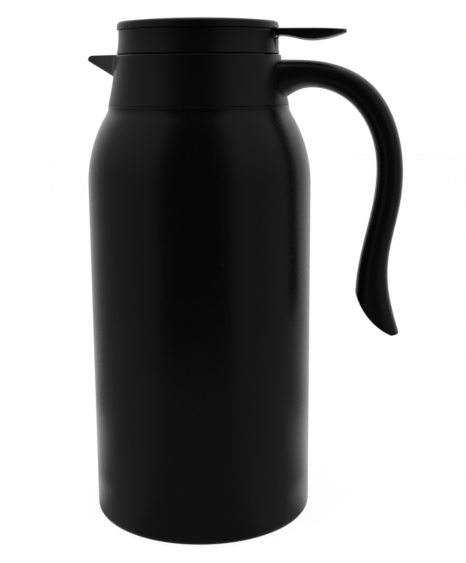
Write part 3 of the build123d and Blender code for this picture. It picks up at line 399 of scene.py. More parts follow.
# --- jug ----------------------------------------------------------------------------------
BASE_Z = 0.6  # underside of the steel; the pad reaches down to 0
BODY_R = 65.0
LEDGE_Z = 245.6
LEDGE_R = 52.3
NECK_R = 41.0
MOUTH_Z = 262.0
COLLAR_FOOT_R = 52.2
COLLAR_TOP_Z = 273.9
GALLERY_Z = 264.2
BEAK_ROOT_X = 44.0
BEAK_TIP_X = 65.5
BEAK_HALVES = (18.0, 2.4)  # half widths at the beak's root and tip
BEAK_KEELS = (256.4, 270.5)  # heights of its keel there
HANDLE_SCREW_Y = 6.5
HANDLE_SCREW_Z = 256.0


def shell_line(inset):
    """Outline of the steel shell, from its rolled rim to the neck."""
    rim_r, ledge_foot_z = 53.4, LEDGE_Z - 1.6 - inset
    points = rounded(
        [
            (rim_r + inset, 3.6, 0),
            (rim_r + inset, BASE_Z + inset, 0.3),
            (BODY_R - inset, BASE_Z + inset, 5.0 - inset),
            (BODY_R - inset, 30.0, 0),
        ],
        10,
    )
    shoulder_r, shoulder_z = 76.48, 200.0
    shoulder = arc(BODY_R - shoulder_r, shoulder_z, shoulder_r - inset, 0, 30.6, 22)
    points += shoulder
    points += bend(shoulder[-1], (-4.0, 6.6), (LEDGE_R - inset, ledge_foot_z), (0, 3.2), 12)[1:]
    points += rounded(
        [
            (LEDGE_R - inset, ledge_foot_z, 0),
            (LEDGE_R - inset, LEDGE_Z - inset, 0.6),
            (NECK_R - inset, LEDGE_Z - inset, 2.0),
            (NECK_R - inset, MOUTH_Z - 0.5, 0),
        ],
        6,
    )[1:]
    return points


def steel_shell():
    """Drawn outer body in 0.6 mm sheet."""
    line = shell_line(0.0) + list(reversed(shell_line(0.6)))
    dress(lathe("steel_shell", line, steps=192), "powder_coat", "jug", ["outer_shell"])


def collar_line(inset, steps):
    """Waisted side of the collar, from its foot to its top."""
    foot, top = (COLLAR_FOOT_R - inset, LEDGE_Z), (47.5 - inset, COLLAR_TOP_Z)
    return through(foot, (50.2 - inset, 254.5), top, steps)


def beak_ring(x, half_width, keel_z, keel_r, top_z):
    """V section of the beak with a round keel."""
    side = rounded([(-half_width, top_z, 0), (0, keel_z, keel_r), (half_width, top_z, 0)], 8)
    return [(-x, y, z) for y, z in side]


def beak_channel(inset, top):
    """Form of the channel that runs through the beak, inset from its sides and its keel."""
    rise = inset * 1.18 * 1.3
    rings = []
    for i in range(25):
        t = 1 - (1 - i / 24) ** 1.6
        x = BEAK_ROOT_X + (BEAK_TIP_X - BEAK_ROOT_X) * t
        half = between(BEAK_HALVES[0] - inset * 1.25, BEAK_HALVES[1] - inset * 0.4, t)
        keel = between(BEAK_KEELS[0] + rise, BEAK_KEELS[1] + rise * 0.35, t)
        rings.append(beak_ring(x, half, keel, between(3.0, 0.375, t), top))
    return loft_rings("channel", rings)


def beak_reach(turn, z):
    """How far from the axis the beak ends, on a ray turned away from its middle."""
    nose_length, nose_height = 4.4, 2.6
    near, far = 20.0, 67.0
    for _ in range(22):
        r = (near + far) / 2
        x, y = r * math.cos(turn), r * math.sin(turn)
        t = (x - BEAK_ROOT_X) / (BEAK_TIP_X - BEAK_ROOT_X)
        keel = between(*BEAK_KEELS, t)
        half = between(*BEAK_HALVES, t) * (z - keel) / max(COLLAR_TOP_Z - keel, 0.5)
        inside = half > math.hypot(y, between(1.6, 0.3, t))
        near, far = (r, far) if inside else (near, r)
    over = max(z - COLLAR_TOP_Z + nose_height, 0.0) / nose_height
    end = (BEAK_TIP_X - nose_length * round_over(over)) / math.cos(turn)
    return -soft_max(-near, -end, 0.4)


def spout_collar():
    """Waisted collar that grows into its beak, with a channel and a floor round the neck ring."""
    lip_width, lip_height, foot, blend = 2.0, 0.9, 0.5, 3.0
    beak_degrees = 40
    outline = collar_line(0.0, 44)
    heights = [LEDGE_Z + h for h in (0.0, 0.06, 0.15, 0.3, 0.5, 1.2)]
    heights += [z for _, z in outline if LEDGE_Z + 1.8 < z < COLLAR_TOP_Z - lip_height]
    heights += [COLLAR_TOP_Z - lip_height * (1 - math.sin(math.pi / 2 * i / 6)) for i in range(7)]
    turns = [-180 + 3.5 * i for i in range(40)] + [-beak_degrees + 0.8 * i for i in range(100)]
    turns += [beak_degrees + 3.5 * i for i in range(40)]
    radii = [radius for radius, _ in outline]
    levels = [z for _, z in outline]
    second = natural_spline(levels, radii)
    inside = list(reversed(collar_line(2.2, 20)))
    rings = []
    for degrees in turns:
        turn = math.radians(degrees)
        profile = []
        for z in heights:
            over = max(z - COLLAR_TOP_Z + lip_height, 0.0) / lip_height
            under = max(LEDGE_Z + foot - z, 0.0) / foot
            r = spline_at(levels, radii, second, min(z, levels[-1]))[0]
            r -= lip_width * round_over(over) + foot * round_over(under)
            if abs(degrees) < beak_degrees:
                r = soft_max(r, beak_reach(turn, z), blend)
            profile.append((r, z))
        rings.append([(-r * math.cos(turn), -r * math.sin(turn), z) for r, z in profile + inside])
    wall = loft_rings("spout_collar", rings, closed=True)

    bore, out, low = 43.6, 46.9, 262.4
    gallery = [(bore, low), (out, low), (out, GALLERY_Z), (bore, GALLERY_Z)]
    combine(wall, lathe("gallery", gallery, steps=180), "UNION")
    channel = beak_channel(1.9, COLLAR_TOP_Z + 4.0)
    combine(channel, bar("below", (-80, -40, 240), (0, 40, GALLERY_Z)), "DIFFERENCE")
    combine(wall, channel, "DIFFERENCE")
    for y in (-HANDLE_SCREW_Y, HANDLE_SCREW_Y):
        hole = rod("hole", 1.5, (40, y, HANDLE_SCREW_Z), (60, y, HANDLE_SCREW_Z), 24)
        combine(wall, hole, "DIFFERENCE")
    dress(wall, "shell_plastic", "jug", ["collar"])


# --- handle -------------------------------------------------------------------------------
HANDLE_SPINE = (
    (46.0, 259.8), (57.0, 262.3), (69.0, 262.4), (93.0, 251.9), (108.3, 224.5),
    (109.3, 192.2), (103.0, 160.0), (101.7, 137.0), (106.5, 108.0),
)
HANDLE_HALF_DEPTHS = (11.6, 8.5, 7.4, 7.7, 7.4, 7.7, 8.1, 9.8, 12.3)
HANDLE_HALF_WIDTHS = (15.0, 12.4, 11.5, 11.5, 11.5, 11.5, 11.5, 11.5, 11.5)
STRIP_HALF = 6.85
BED_HALF = 7.05
STRIP_DEPTH = 1.6

# place on the spine (x, z), outward direction, half depth, half width, length along the spine
Station = namedtuple("Station", "x z out_x out_z depth width mark")


def handle_stations(places):
    """Stations at lengths along the spine, or in that many even steps from end to end."""
    marks = [0.0]
    for (ax, az), (bx, bz) in zip(HANDLE_SPINE, HANDLE_SPINE[1:]):
        marks.append(marks[-1] + math.hypot(bx - ax, bz - az))
    columns = [[x for x, z in HANDLE_SPINE], [z for x, z in HANDLE_SPINE]]
    columns += [list(HANDLE_HALF_DEPTHS), list(HANDLE_HALF_WIDTHS)]
    seconds = [natural_spline(marks, column) for column in columns]
    if isinstance(places, int):
        places = [marks[-1] * i / places for i in range(places + 1)]
    stations = []
    for mark in places:
        (x, dx), (z, dz), (depth, _), (width, _) = [
            spline_at(marks, column, second, mark) for column, second in zip(columns, seconds)
        ]
        length = math.hypot(dx, dz)
        stations.append(Station(x, z, -dz / length, dx / length, depth, width, mark))
    return stations


def handle_ring(station, points):
    """Ring from points (across, outwards)."""
    return [(station.x + station.out_x * v, u, station.z + station.out_z * v) for u, v in points]


def flared_ring(station):
    """The handle's section, raised near the collar, so that it seems to grow out of it."""
    lift = 1.0 + 0.05 * (max(5.0 - station.mark, 0.0) / 2.5) ** 2
    points = [(u, v * lift if v > 0 else v) for u, v in oval(station)]
    return [(x, y, min(z, COLLAR_TOP_Z - 1.1)) for x, y, z in handle_ring(station, points)]


def oval(station):
    """Handle's section: round towards the fingers, a little flatter on its outer side."""
    points = []
    for i in range(72):
        sin, cos = math.sin(2 * math.pi * i / 72), math.cos(2 * math.pi * i / 72)
        power = 0.8 if cos > 0 else 1.0
        across = station.width * math.copysign(abs(sin) ** power, sin)
        points.append((across, station.depth * math.copysign(abs(cos) ** power, cos)))
    return points


def inner_side(station, across):
    """How far in from the spine the oval's inner side lies, as a negative number."""
    return -station.depth * math.sqrt(1 - (across / station.width) ** 2)


def bed_section(station):
    """Groove for the strip in the handle's inner side."""
    edge = inner_side(station, BED_HALF)
    low, high = edge - 2.0, edge + STRIP_DEPTH
    return [(-BED_HALF, low), (BED_HALF, low), (BED_HALF, high), (-BED_HALF, high)]


def strip_section(station):
    """Strip that follows the oval, with soft edges."""
    points = []
    for i in range(17):
        u = -STRIP_HALF + 2 * STRIP_HALF * i / 16
        edge_fall = 0.25 * max(0.0, (abs(u) - 6.2) / 0.65) ** 2
        points.append((u, inner_side(station, u) + edge_fall))
    floor = inner_side(station, BED_HALF) + STRIP_DEPTH
    return points + [(STRIP_HALF, floor), (-STRIP_HALF, floor)]


def foot_block():
    """What lies beyond the handle's slanted, convex end."""
    line = through((90.4, 142.8), (98.6, 125.5), (113.4, 113.4), 24)
    outline = line + [(143.0, 114.0), (143.0, 60.0), (50.0, 60.0), (50.0, 140.0)]
    near = [(x, -30.0, z) for x, z in outline]
    far = [(x, 30.0, z) for x, z in outline]
    return loft_rings("foot_block", [near, far])


def handle_pieces():
    """Handle with its free, slanted end, and the strip that closes it on the inner side."""
    stations = handle_stations(120)
    root = handle_stations([0.45 * i for i in range(18)])
    form = root + [item for item in stations if item.mark > 8.2]
    shell = loft_rings("handle_form", [flared_ring(item) for item in form])
    below = [(0.0, 240.0), (COLLAR_FOOT_R, 240.0)]
    core = lathe("core", below + collar_line(0.0, 20) + [(0.0, COLLAR_TOP_Z)], steps=180)
    combine(shell, core, "DIFFERENCE")
    combine(shell, foot_block(), "DIFFERENCE")

    start, end, play = 24.0, stations[-1].mark * 0.80, 0.15
    bed = [item for item in stations if start <= item.mark <= end]
    groove = loft_rings("bed", [handle_ring(item, bed_section(item)) for item in bed])
    combine(shell, groove, "DIFFERENCE")
    dress(shell, "shell_plastic", "jug", ["handle_shell"], 40)
    middle = [item.mark for item in bed[1:-1]]
    strip = handle_stations([bed[0].mark + play, *middle, bed[-1].mark - play])
    cover = loft_rings("handle_strip", [handle_ring(item, strip_section(item)) for item in strip])
    dress(cover, "shell_plastic", "jug", ["handle_cover"], 40)


# --- lid ----------------------------------------------------------------------------------
LID_RING_Z = 274.3
LID_FLANGE_Z = 276.1  # top of the ring's inner flange
LID_RING_TOP_Z = 287.3
HINGE_X = 44.0
HINGE_Z = 284.4
LID_SCREWS = around(35.9, (52.0, 128.0, 232.0, 308.0))
HOUSING_SCREWS = [(35.0, -4.4), (35.0, 4.4)]
FLAP_SCREWS = around(35.6, (80.0, 180.0, 280.0))
TONGUE_SCREWS = [(33.5, -5.0), (33.5, 5.0)]
SCREW_HOLE_R = 1.2
COVER_FOOT_Z = 287.7
LEVER_HALF = 8.6  # half width of the lever at its hinge
LEVER_TOP_Z = 288.2
LEVER_EDGE = 0.45
LEVER_BELLY = (
    (46.0, 283.8), (50.0, 283.6), (53.0, 283.1), (56.0, 282.5), (59.0, 281.8), (62.0, 281.35),
    (66.0, 281.1), (70.0, 281.4), (73.0, 281.8), (76.0, 282.45), (78.5, 283.1), (81.0, 283.9),
    (84.7, 285.3),
)


def ring_line(inset, steps):
    """Waisted side of the lid ring."""
    foot, top = (46.6 - inset, LID_RING_Z), (45.35 - inset, LID_RING_TOP_Z)
    return through(foot, (45.6 - inset, 280.8), top, steps)


def waisted_ring():
    """Ring under the cover, with its flange, bosses, and room for the hinge's housing."""
    low, high = LID_RING_Z - 0.2, LID_RING_TOP_Z + 0.25
    side = ring_line(0.0, 24)
    foot = rounded([(44.9, low, 0), (46.7, low, 0.6), (*side[3], 0)], 6)
    top = rounded([(*side[-3], 0), (45.35, high, 0.35), (44.3, high, 0)], 4)
    inside = list(reversed(ring_line(2.2, 12)))
    ring = lathe("waisted_ring", foot + side[4:-3] + top + inside, steps=180)

    bore, out = 37.8, 45.0
    flange = [(bore, LID_RING_Z), (out, LID_RING_Z), (out, LID_FLANGE_Z), (bore, LID_FLANGE_Z)]
    combine(ring, lathe("flange", flange, steps=180), "UNION")
    posts(ring, LID_SCREWS, 3.2, LID_RING_Z, LID_FLANGE_Z, "UNION", 32)
    combine(ring, bar("lug", (31.0, -7.6, LID_RING_Z), (38.8, 7.6, LID_FLANGE_Z)), "UNION")
    combine(ring, bar("notch", (22.0, -12.4, 282.1), (60.0, 12.4, 300.0)), "DIFFERENCE")
    combine(ring, bar("housing", (22.0, -7.7, LID_FLANGE_Z), (60.0, 7.7, 300.0)), "DIFFERENCE")
    posts(ring, LID_SCREWS + HOUSING_SCREWS, SCREW_HOLE_R, 270.0, 280.0, "DIFFERENCE")
    dress(ring, "shell_plastic", "lid", ["lid_ring"])


def domed_cover():
    """Round cover with a soft rim, hollow below, and bosses for its screws."""
    crown_end, rim_end = (44.4, 292.05), (45.95, 290.4)
    top = through((0.0, 294.2), (22.2, 293.65), crown_end, 24)
    rim = bend(crown_end, (2.4, -0.3), rim_end, (0.3, -2.4), 10)
    foot_line = [(*rim_end, 0), (46.4, COVER_FOOT_Z, 0.45), (44.2, COVER_FOOT_Z, 0.3)]
    foot = rounded(foot_line + [(44.2, 288.8, 0)], 5)[1:]
    under = [(44.2, 289.8), (22.0, 291.4), (0.0, 292.0)]
    cover = lathe("domed_cover", top[:-1] + rim + foot + under, steps=192)
    posts(cover, FLAP_SCREWS + TONGUE_SCREWS, 2.8, 288.9, 291.1, "UNION")
    combine(cover, bar("notch", (22.0, -8.7, 280.0), (60.0, 8.7, 288.3)), "DIFFERENCE")
    dress(cover, "shell_plastic", "flap", ["flap_cover"])


def lever_section(x, half, top, low, edge):
    """Closed section of the lever: flat top, bellied underside, soft edges."""
    points = []
    for i in range(13):
        u = 1.0 - 2.0 * i / 12
        points.append((x, half * u, top - edge * abs(u) ** 12))
    for i in range(1, 20):
        turn = math.pi * i / 20
        drop = (top - edge - low) * math.sin(turn) ** 0.28
        points.append((x, -half * math.cos(turn), top - edge - drop))
    return points


def hinge_rod(name, radius, half, steps):
    """Round bar on the hinge's axis, half its length to each side."""
    return rod(name, radius, (HINGE_X, -half, HINGE_Z), (HINGE_X, half, HINGE_Z), steps)


def lever_bar(name, x0, x1, z0):
    """Block below the lever's top, as wide as the lever at its hinge."""
    return bar(name, (x0, -LEVER_HALF, z0), (x1, LEVER_HALF, LEVER_TOP_Z))


def thumb_plate():
    """Thumb lever with its hinge knuckle and the tongue under the cover."""
    marks, lows = [x for x, z in LEVER_BELLY], [z for x, z in LEVER_BELLY]
    root, tip, pad = marks[0], marks[-1], 10.0
    second = natural_spline(marks, lows)
    rings = []
    for i in range(49):
        x = root + (tip - root) * math.sin(math.pi / 2 * i / 48)
        grow = min(max((x - root) / 14.0, 0.0), 1.0)
        half = LEVER_HALF + (pad - LEVER_HALF) * grow * grow * (3 - 2 * grow)
        if x > tip - pad:
            half = math.sqrt(max(pad**2 - (x - tip + pad) ** 2, 0.0025))
        low = spline_at(marks, lows, second, min(x, tip))[0]
        top = LEVER_TOP_Z - 0.012 * (x - root) - 0.5 * max(0.0, (x - 66.0) / 18.7) ** 2
        rings.append(lever_section(x, half, top, min(low, top - 0.7), LEVER_EDGE))
    lever = loft_rings("thumb_plate", rings)

    web_end, slot_half = 46.2, 2.45
    combine(lever, hinge_rod("knuckle", 2.0, LEVER_HALF, 40), "UNION")
    combine(lever, lever_bar("web", 42.0, web_end, HINGE_Z), "UNION")
    combine(lever, lever_bar("tongue", 28.0, web_end, 286.9), "UNION")
    combine(lever, lever_bar("heel", HINGE_X, web_end, lows[0]), "UNION")
    combine(lever, hinge_rod("bore", 1.06, 20, 32), "DIFFERENCE")
    combine(lever, hinge_rod("slot", 2.43, slot_half, 40), "DIFFERENCE")
    relief = bar("relief", (41.0, -slot_half, 280.0), (HINGE_X, slot_half, HINGE_Z))
    combine(lever, relief, "DIFFERENCE")
    posts(lever, TONGUE_SCREWS, SCREW_HOLE_R, 280.0, 300.0, "DIFFERENCE")
    dress(lever, "shell_plastic", "flap", ["thumb_lever"], 38)


# --- small pieces -------------------------------------------------------------------------
SCREW_HEAD_R = 2.3
SCREW_HEAD_HEIGHT = 1.5
SCREW_SHANK_R = 1.1
THREAD_LEAD = 24.0  # rise of the lid for one turn


def merged(name, copies):
    """One piece from several closed meshes, each with its own place."""
    work = bmesh.new()
    for mesh, place in copies:
        copy = mesh.copy()
        copy.transform(place)
        work.from_mesh(copy)
        bpy.data.meshes.remove(copy)
    mesh = bpy.data.meshes.new(name)
    work.to_mesh(mesh)
    work.free()
    return link_object(name, mesh)


def pan_screw(head_r, head_height, shank_r, length):
    """Screw along +Z with its seat at height zero, a domed head and a cross recess."""
    pitch = 0.8 * shank_r
    thread = [(0.0, -length), (0.5 * shank_r, -length), (0.78 * shank_r, -length + pitch)]
    z = -length + 1.4 * pitch
    while z < -0.8 * pitch:
        thread += [(shank_r, z), (0.8 * shank_r, z + 0.45 * pitch)]
        z += pitch
    head = [(shank_r, -0.3), (shank_r, 0.0), (head_r, 0.0), (head_r, 0.35 * head_height)]
    dome = through(head[-1], (0.62 * head_r, 0.88 * head_height), (0.0, head_height), 8)[1:]
    screw = lathe("screw", thread + head + dome, steps=40)
    half, reach, depth, above = 0.13 * head_r, 0.58 * head_r, 0.45 * head_height, 9.0
    for x, y in ((half, reach), (reach, half)):
        combine(screw, bar("cross", (-x, -y, depth), (x, y, above)), "DIFFERENCE")
    return screw


def screw_set(name, screw, places, up, body, node):
    """Copies of one screw, heads towards up, which stand for a node."""
    turn = Vector(up).to_track_quat("Z", "Y").to_matrix().to_4x4()
    copies = []
    for i, place in enumerate(places):
        spin = Matrix.Rotation(0.7 + 1.9 * i, 4, "Z")
        copies.append((screw.data, Matrix.Translation(Vector(place) * MM) @ turn @ spin))
    piece = merged(name, copies)
    bpy.data.objects.remove(screw)
    dress(piece, "screw_steel", body, [node])


def all_screws():
    """Screws in the lid, heads up, in the flap, heads down, and in the handle's root."""
    housing_z, tongue_z, collar_x = 278.1, 286.9, 46.36
    screw = pan_screw(SCREW_HEAD_R, SCREW_HEAD_HEIGHT, SCREW_SHANK_R, 8.0)
    places = [(*place, LID_FLANGE_Z) for place in LID_SCREWS]
    places += [(*place, housing_z) for place in HOUSING_SCREWS]
    screw_set("cross_screws_lid", screw, places, (0, 0, 1), "lid", "lid_screws")

    screw = pan_screw(SCREW_HEAD_R, SCREW_HEAD_HEIGHT, SCREW_SHANK_R, 4.0)
    places = [(*place, tongue_z) for place in FLAP_SCREWS + TONGUE_SCREWS]
    screw_set("cross_screws_flap", screw, places, (0, 0, -1), "flap", "flap_screws")

    screw = pan_screw(2.7, 1.7, 1.4, 9.0)
    places = [(collar_x, y, HANDLE_SCREW_Z) for y in (-HANDLE_SCREW_Y, HANDLE_SCREW_Y)]
    screw_set("cross_screws_handle", screw, places, (-1, 0, 0), "jug", "handle_screws")


def ribbed_pad():
    """Non-slip disc under the jug with rings moulded into its underside."""
    groove_z, top_z = 0.7, 2.2
    line = [(0.0, top_z), (0.0, groove_z), (9.0, groove_z), (9.6, 0.0)]
    for i in range(6):
        r = 15.0 + 6.0 * i
        line += [(r, 0.0), (r + 0.4, groove_z), (r + 1.8, groove_z), (r + 2.2, 0.0)]
    line += [(49.9, 0.0), (50.5, 0.6), (50.5, top_z)]
    dress(lathe("ribbed_pad", line), "foot_rubber", "jug", ["base_pad"])


def wire_spring():
    """Round wire wound about the hinge's pin, with a leg at each end."""
    turns, turn_steps, wire_steps = 3, 28, 12
    steps = turns * turn_steps
    wire, coil, side_y = 0.325, 1.55, 1.8
    path = [(HINGE_X + coil, side_y, 282.1), (HINGE_X + coil, side_y, 283.2)]
    for i in range(steps + 1):
        angle = 2 * math.pi * i / turn_steps
        y = side_y - 2 * side_y * i / steps
        path.append((HINGE_X + coil * math.cos(angle), y, HINGE_Z + coil * math.sin(angle)))
    path += [(HINGE_X + coil, -side_y, HINGE_Z + 1.0)]
    rings = []
    for i, point in enumerate(path):
        after, before = path[min(i + 1, len(path) - 1)], path[max(i - 1, 0)]
        ahead = (Vector(after) - Vector(before)).normalized()
        side = (Vector((0, 1, 0)) - ahead * ahead.y).normalized()
        third = ahead.cross(side)
        ring = []
        for k in range(wire_steps):
            angle = 2 * math.pi * k / wire_steps
            out = math.cos(angle) * side + math.sin(angle) * third
            ring.append(tuple(Vector(point) + wire * out))
        rings.append(ring)
    dress(loft_rings("wire_spring", rings), "spring_steel", "lid", ["torsion_spring"])


def thread_ridges(name, body, root_r, crest_r, start_z, span):
    """Three ridges of the lid's steep thread, each over span degrees, with run-in at both ends."""
    rise = THREAD_LEAD / 360.0
    copies = []
    for first in (90.0, 210.0, 330.0):
        rings = []
        for i in range(41):
            share = i / 40
            angle = math.radians(first + span * share)
            grow = min(1.0, 6.0 * share + 0.05, 6.0 * (1 - share) + 0.05)
            crest = root_r + (crest_r - root_r) * grow
            z = start_z + rise * span * share
            section = [(root_r, z - 0.8), (crest, z - 0.3), (crest, z + 0.3), (root_r, z + 0.8)]
            rings.append([(r * math.cos(angle), r * math.sin(angle), h) for r, h in section])
        ridge = loft_rings("ridge", rings)
        copies.append((ridge.data, Matrix.Identity(4)))
        bpy.data.objects.remove(ridge)
    dress(merged(name, copies), "inner_plastic", body)


# --- studio -------------------------------------------------------------------------------
WORLD_LIGHT = 0.55  # strength of the world as light; it is 1 to the eye
FLOOR_HALF = 3.0
FLOOR_Z = -0.0002
FLOOR_GLOW = 1.02
FLOOR_GLOW_SHARE = 0.93  # what the eye sees of that glow; the rest is lit floor and its shadow
TENT_FRONT = -85.1  # direction of the cards' dark middle, in degrees
TENT_SPAN = 145.0  # how far they reach to each side of it
TENT_DARK = 36.5  # half width of the dark middle, with a soft edge to each side
TENT_SOFT = 7
TENT_ABOVE = (8, 35)  # elevations over which the cards grow lighter
LAMP_SIZE = 1.0
LAMP_AIM = (0, 0, 0.15)
CAMERA_PLACE = (0.10788, -0.59054, 0.26147)
CAMERA_TURN = 8.526  # degrees to the left of +Y
CAMERA_PITCH = 0.1983  # radians downwards
CAMERA_ROLL = -0.0061  # radians
FOCAL_PIXELS = 1019.6424  # in a picture this many pixels high
PICTURE_HEIGHT = 563.0
SENSOR = 36.0


def seen_rays(tree):
    """1 to the eye, in reflections and through glass, and 0 for light."""
    path = tree.nodes.new("ShaderNodeLightPath")
    seen = calculate(tree, "MAXIMUM", path.outputs["Is Camera Ray"], path.outputs["Is Glossy Ray"])
    return calculate(tree, "MAXIMUM", seen, path.outputs["Is Transmission Ray"])


def studio_world():
    """White for the eye, for reflections and through glass; softer as light."""
    world = bpy.data.worlds.new("studio_world")
    world.use_nodes = True
    tree = world.node_tree
    background = tree.nodes["Background"]
    background.inputs["Color"].default_value = (1.0, 1.0, 1.0, 1.0)
    level = map_range(tree, seen_rays(tree), (0.0, 1.0), (WORLD_LIGHT, 1.0))
    tree.links.new(level, background.inputs["Strength"])
    bpy.context.scene.world = world


def plain_object(name, verts, faces):
    """Object from points in metres, just as they are."""
    mesh = bpy.data.meshes.new(name)
    mesh.from_pydata(verts, [], faces)
    return link_object(name, mesh)


def studio_floor():
    """Pale floor: nearly white to the eye, with the object's shadow left in it."""
    corners = [(-1, -1), (1, -1), (1, 1), (-1, 1)]
    verts = [(x * FLOOR_HALF, y * FLOOR_HALF, FLOOR_Z) for x, y in corners]
    floor = plain_object("floor", verts, [(0, 1, 2, 3)])
    material = new_material("floor_white", (0.85, 0.85, 0.85), 0.9, 0.0, 0.2)
    tree = material.node_tree
    glow = tree.nodes.new("ShaderNodeEmission")
    glow.inputs["Strength"].default_value = FLOOR_GLOW
    share = map_range(tree, seen_rays(tree), (0.0, 1.0), (0.0, FLOOR_GLOW_SHARE))
    mix = tree.nodes.new("ShaderNodeMixShader")
    tree.links.new(share, mix.inputs[0])
    tree.links.new(tree.nodes["Principled BSDF"].outputs[0], mix.inputs[1])
    tree.links.new(glow.outputs[0], mix.inputs[2])
    tree.links.new(mix.outputs[0], tree.nodes["Material Output"].inputs["Surface"])
    floor.data.materials.append(material)


def vector_part(tree, vector, part):
    """One part (0 to 2) of a vector's direction."""
    unit = tree.nodes.new("ShaderNodeVectorMath")
    unit.operation = "NORMALIZE"
    split = tree.nodes.new("ShaderNodeSeparateXYZ")
    tree.links.new(vector, unit.inputs[0])
    tree.links.new(unit.outputs[0], split.inputs[0])
    return split.outputs[part]


def each(function, degrees):
    """Sines or cosines of angles in degrees."""
    return tuple(function(math.radians(a)) for a in degrees)


def card_material(name, front, side, back, rear_from, rear_to):
    """Glow of a card, with its levels in front of the object, at its sides and behind it.

    The level behind comes in between rear_from and rear_to, in degrees from the front.
    """
    material = bpy.data.materials.new(name)
    material.use_nodes = True
    tree = material.node_tree
    tree.nodes.remove(tree.nodes["Principled BSDF"])
    place = tree.nodes.new("ShaderNodeTexCoord").outputs["Object"]
    flat = tree.nodes.new("ShaderNodeVectorMath")
    flat.operation = "MULTIPLY"
    flat.inputs[1].default_value = (1, 1, 0)
    tree.links.new(place, flat.inputs[0])
    turn = vector_part(tree, flat.outputs[0], 0)
    dark = each(math.cos, (TENT_DARK - TENT_SOFT, TENT_DARK + TENT_SOFT))
    level = map_range(tree, turn, dark, (front, side), smooth=True)
    rear = map_range(tree, turn, each(math.cos, (rear_from, rear_to)), (0.0, back - side))
    rise = vector_part(tree, place, 2)
    above = map_range(tree, rise, each(math.sin, TENT_ABOVE), (1.0, 1.6), smooth=True)
    both = calculate(tree, "ADD", level, rear)
    glow = tree.nodes.new("ShaderNodeEmission")
    tree.links.new(calculate(tree, "MULTIPLY", both, above), glow.inputs["Strength"])
    tree.links.new(glow.outputs[0], tree.nodes["Material Output"].inputs["Surface"])
    return material


def studio_card(name, profile, levels):
    """Card turned about the object, open at the back, that only reflections meet."""
    steps = 72
    count = len(profile)
    verts, faces = [], []
    for i in range(steps + 1):
        turn = math.radians(-TENT_SPAN + 2 * TENT_SPAN * i / steps)
        verts += [(r * math.cos(turn), r * math.sin(turn), z) for r, z in profile]
    for i in range(steps):
        for low in range(i * count, (i + 1) * count - 1):
            faces.append((low, low + 1, low + count + 1, low + count))
    card = plain_object(name, verts, faces)
    card.rotation_euler = (0, 0, math.radians(TENT_FRONT))
    card.data.materials.append(card_material(name, *levels))
    card.visible_camera = False
    card.visible_shadow = False
    card.visible_diffuse = False
    card.visible_transmission = False


def soft_lamp(name, place, power):
    """Square lamp that looks at the middle of the object."""
    light = bpy.data.lights.new(name, "AREA")
    light.energy = power
    light.size = LAMP_SIZE
    lamp = link_object(name, light)
    lamp.location = place
    lamp.rotation_euler = (Vector(LAMP_AIM) - Vector(place)).to_track_quat("-Z", "Y").to_euler()
    lamp.visible_glossy = False


def studio_camera():
    """The photograph's view, with its level in the object's frame."""
    turn = math.radians(CAMERA_TURN)
    flat = math.cos(CAMERA_PITCH)
    level = Vector((math.cos(turn), math.sin(turn), 0))
    ahead = Vector((-math.sin(turn) * flat, math.cos(turn) * flat, -math.sin(CAMERA_PITCH)))
    up = level.cross(ahead)
    right = level * math.cos(CAMERA_ROLL) + up * math.sin(CAMERA_ROLL)
    above = up * math.cos(CAMERA_ROLL) - level * math.sin(CAMERA_ROLL)
    columns = Matrix((right, above, -ahead)).transposed()
    data = bpy.data.cameras.new("camera")
    data.sensor_width = SENSOR
    data.sensor_fit = "AUTO"
    data.lens = FOCAL_PIXELS * SENSOR / PICTURE_HEIGHT
    data.clip_start = 0.01
    camera = link_object("camera", data)
    camera.matrix_world = Matrix.Translation(CAMERA_PLACE) @ columns.to_4x4()
    bpy.context.scene.camera = camera


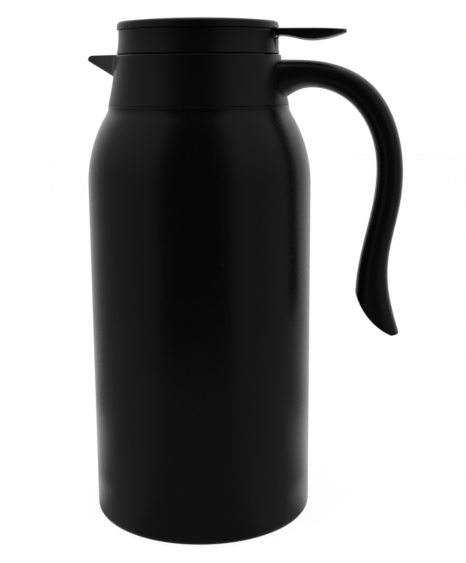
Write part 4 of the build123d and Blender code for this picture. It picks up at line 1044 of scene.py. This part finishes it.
# The foot, near and mid cards lie on the floor and only reflections meet them: painted shade of
# the floor near the object, darkest in front, and painted lighter floor behind it.
# radii and heights from the middle outwards, then the levels
CARDS = {
    "foot_shade_card": (
        [(0.054, 0.0001), (0.066, 0.0001), (0.066, 0.002), (0.1, 0.002)],
        (0.20, 0.32, 1.0, 72, 94),
    ),
    "near_shade_card": ([(0.1, 0.002), (0.22, 0.002)], (0.20, 0.32, 1.2, 88, 124)),
    "mid_shade_card": ([(0.22, 0.002), (0.45, 0.002)], (0.20, 0.32, 1.1, 113, 145)),
    "tent_card": (
        [(0.45, 0.002), (1.6, 0.002)] + arc(0, 0, 1.6, 2, 78, 16),
        (0.0, 0.29, 0.85, 113, 145),
    ),
}

studio_world()
studio_floor()
for name, (profile, levels) in CARDS.items():
    studio_card(name, profile, levels)
soft_lamp("lamp_left", (-1.2, -0.9, 1.3), 14.0)
soft_lamp("lamp_right", (1.2, -0.6, 1.2), 9.0)
studio_camera()
bpy.context.scene.view_settings.view_transform = "Standard"


# --- looks of the CAD's own nodes ---------------------------------------------------------
SLOT_NODES = {
    "powder_coat": ["outer_shell"],
    "raw_steel": ["outer_base", "getter_clip"],
    "foot_rubber": ["base_pad"],
    "polished_steel": ["inner_flask", "inner_flask_base"],
    "foil": ["radiation_foil"],
    "getter_metal": ["getter"],
    "solder_glass": ["vacuum_seal"],
    "silicone": ["neck_gasket", "stopper_gasket", "flap_seal"],
    "screw_steel": ["handle_screws", "lid_screws", "flap_screws", "hinge_pin"],
    "spring_steel": ["torsion_spring"],
    "foam": ["stopper_insulation"],
    "inner_plastic": [
        "neck_ring", "stopper", "stopper_base", "hinge_bracket", "flap_plate", "seal_retainer",
    ],
}
NODE_SLOTS = {node: slot for slot, group in SLOT_NODES.items() for node in group}
for name, node in nodes.items():
    material = SLOTS[NODE_SLOTS.get(name, "shell_plastic")]
    if not node.material_slots:
        node.data.materials.append(material)
    for slot in node.material_slots:
        slot.material = material


# --- the jug, put together ----------------------------------------------------------------
steel_shell()
spout_collar()
handle_pieces()
waisted_ring()
domed_cover()
thumb_plate()
all_screws()
ribbed_pad()
wire_spring()
thread_ridges("stopper_thread", "lid", root_r=39.6, crest_r=41.1, start_z=267.5, span=68.0)
thread_ridges("neck_thread", "jug", root_r=41.4, crest_r=40.5, start_z=269.6, span=34.0)
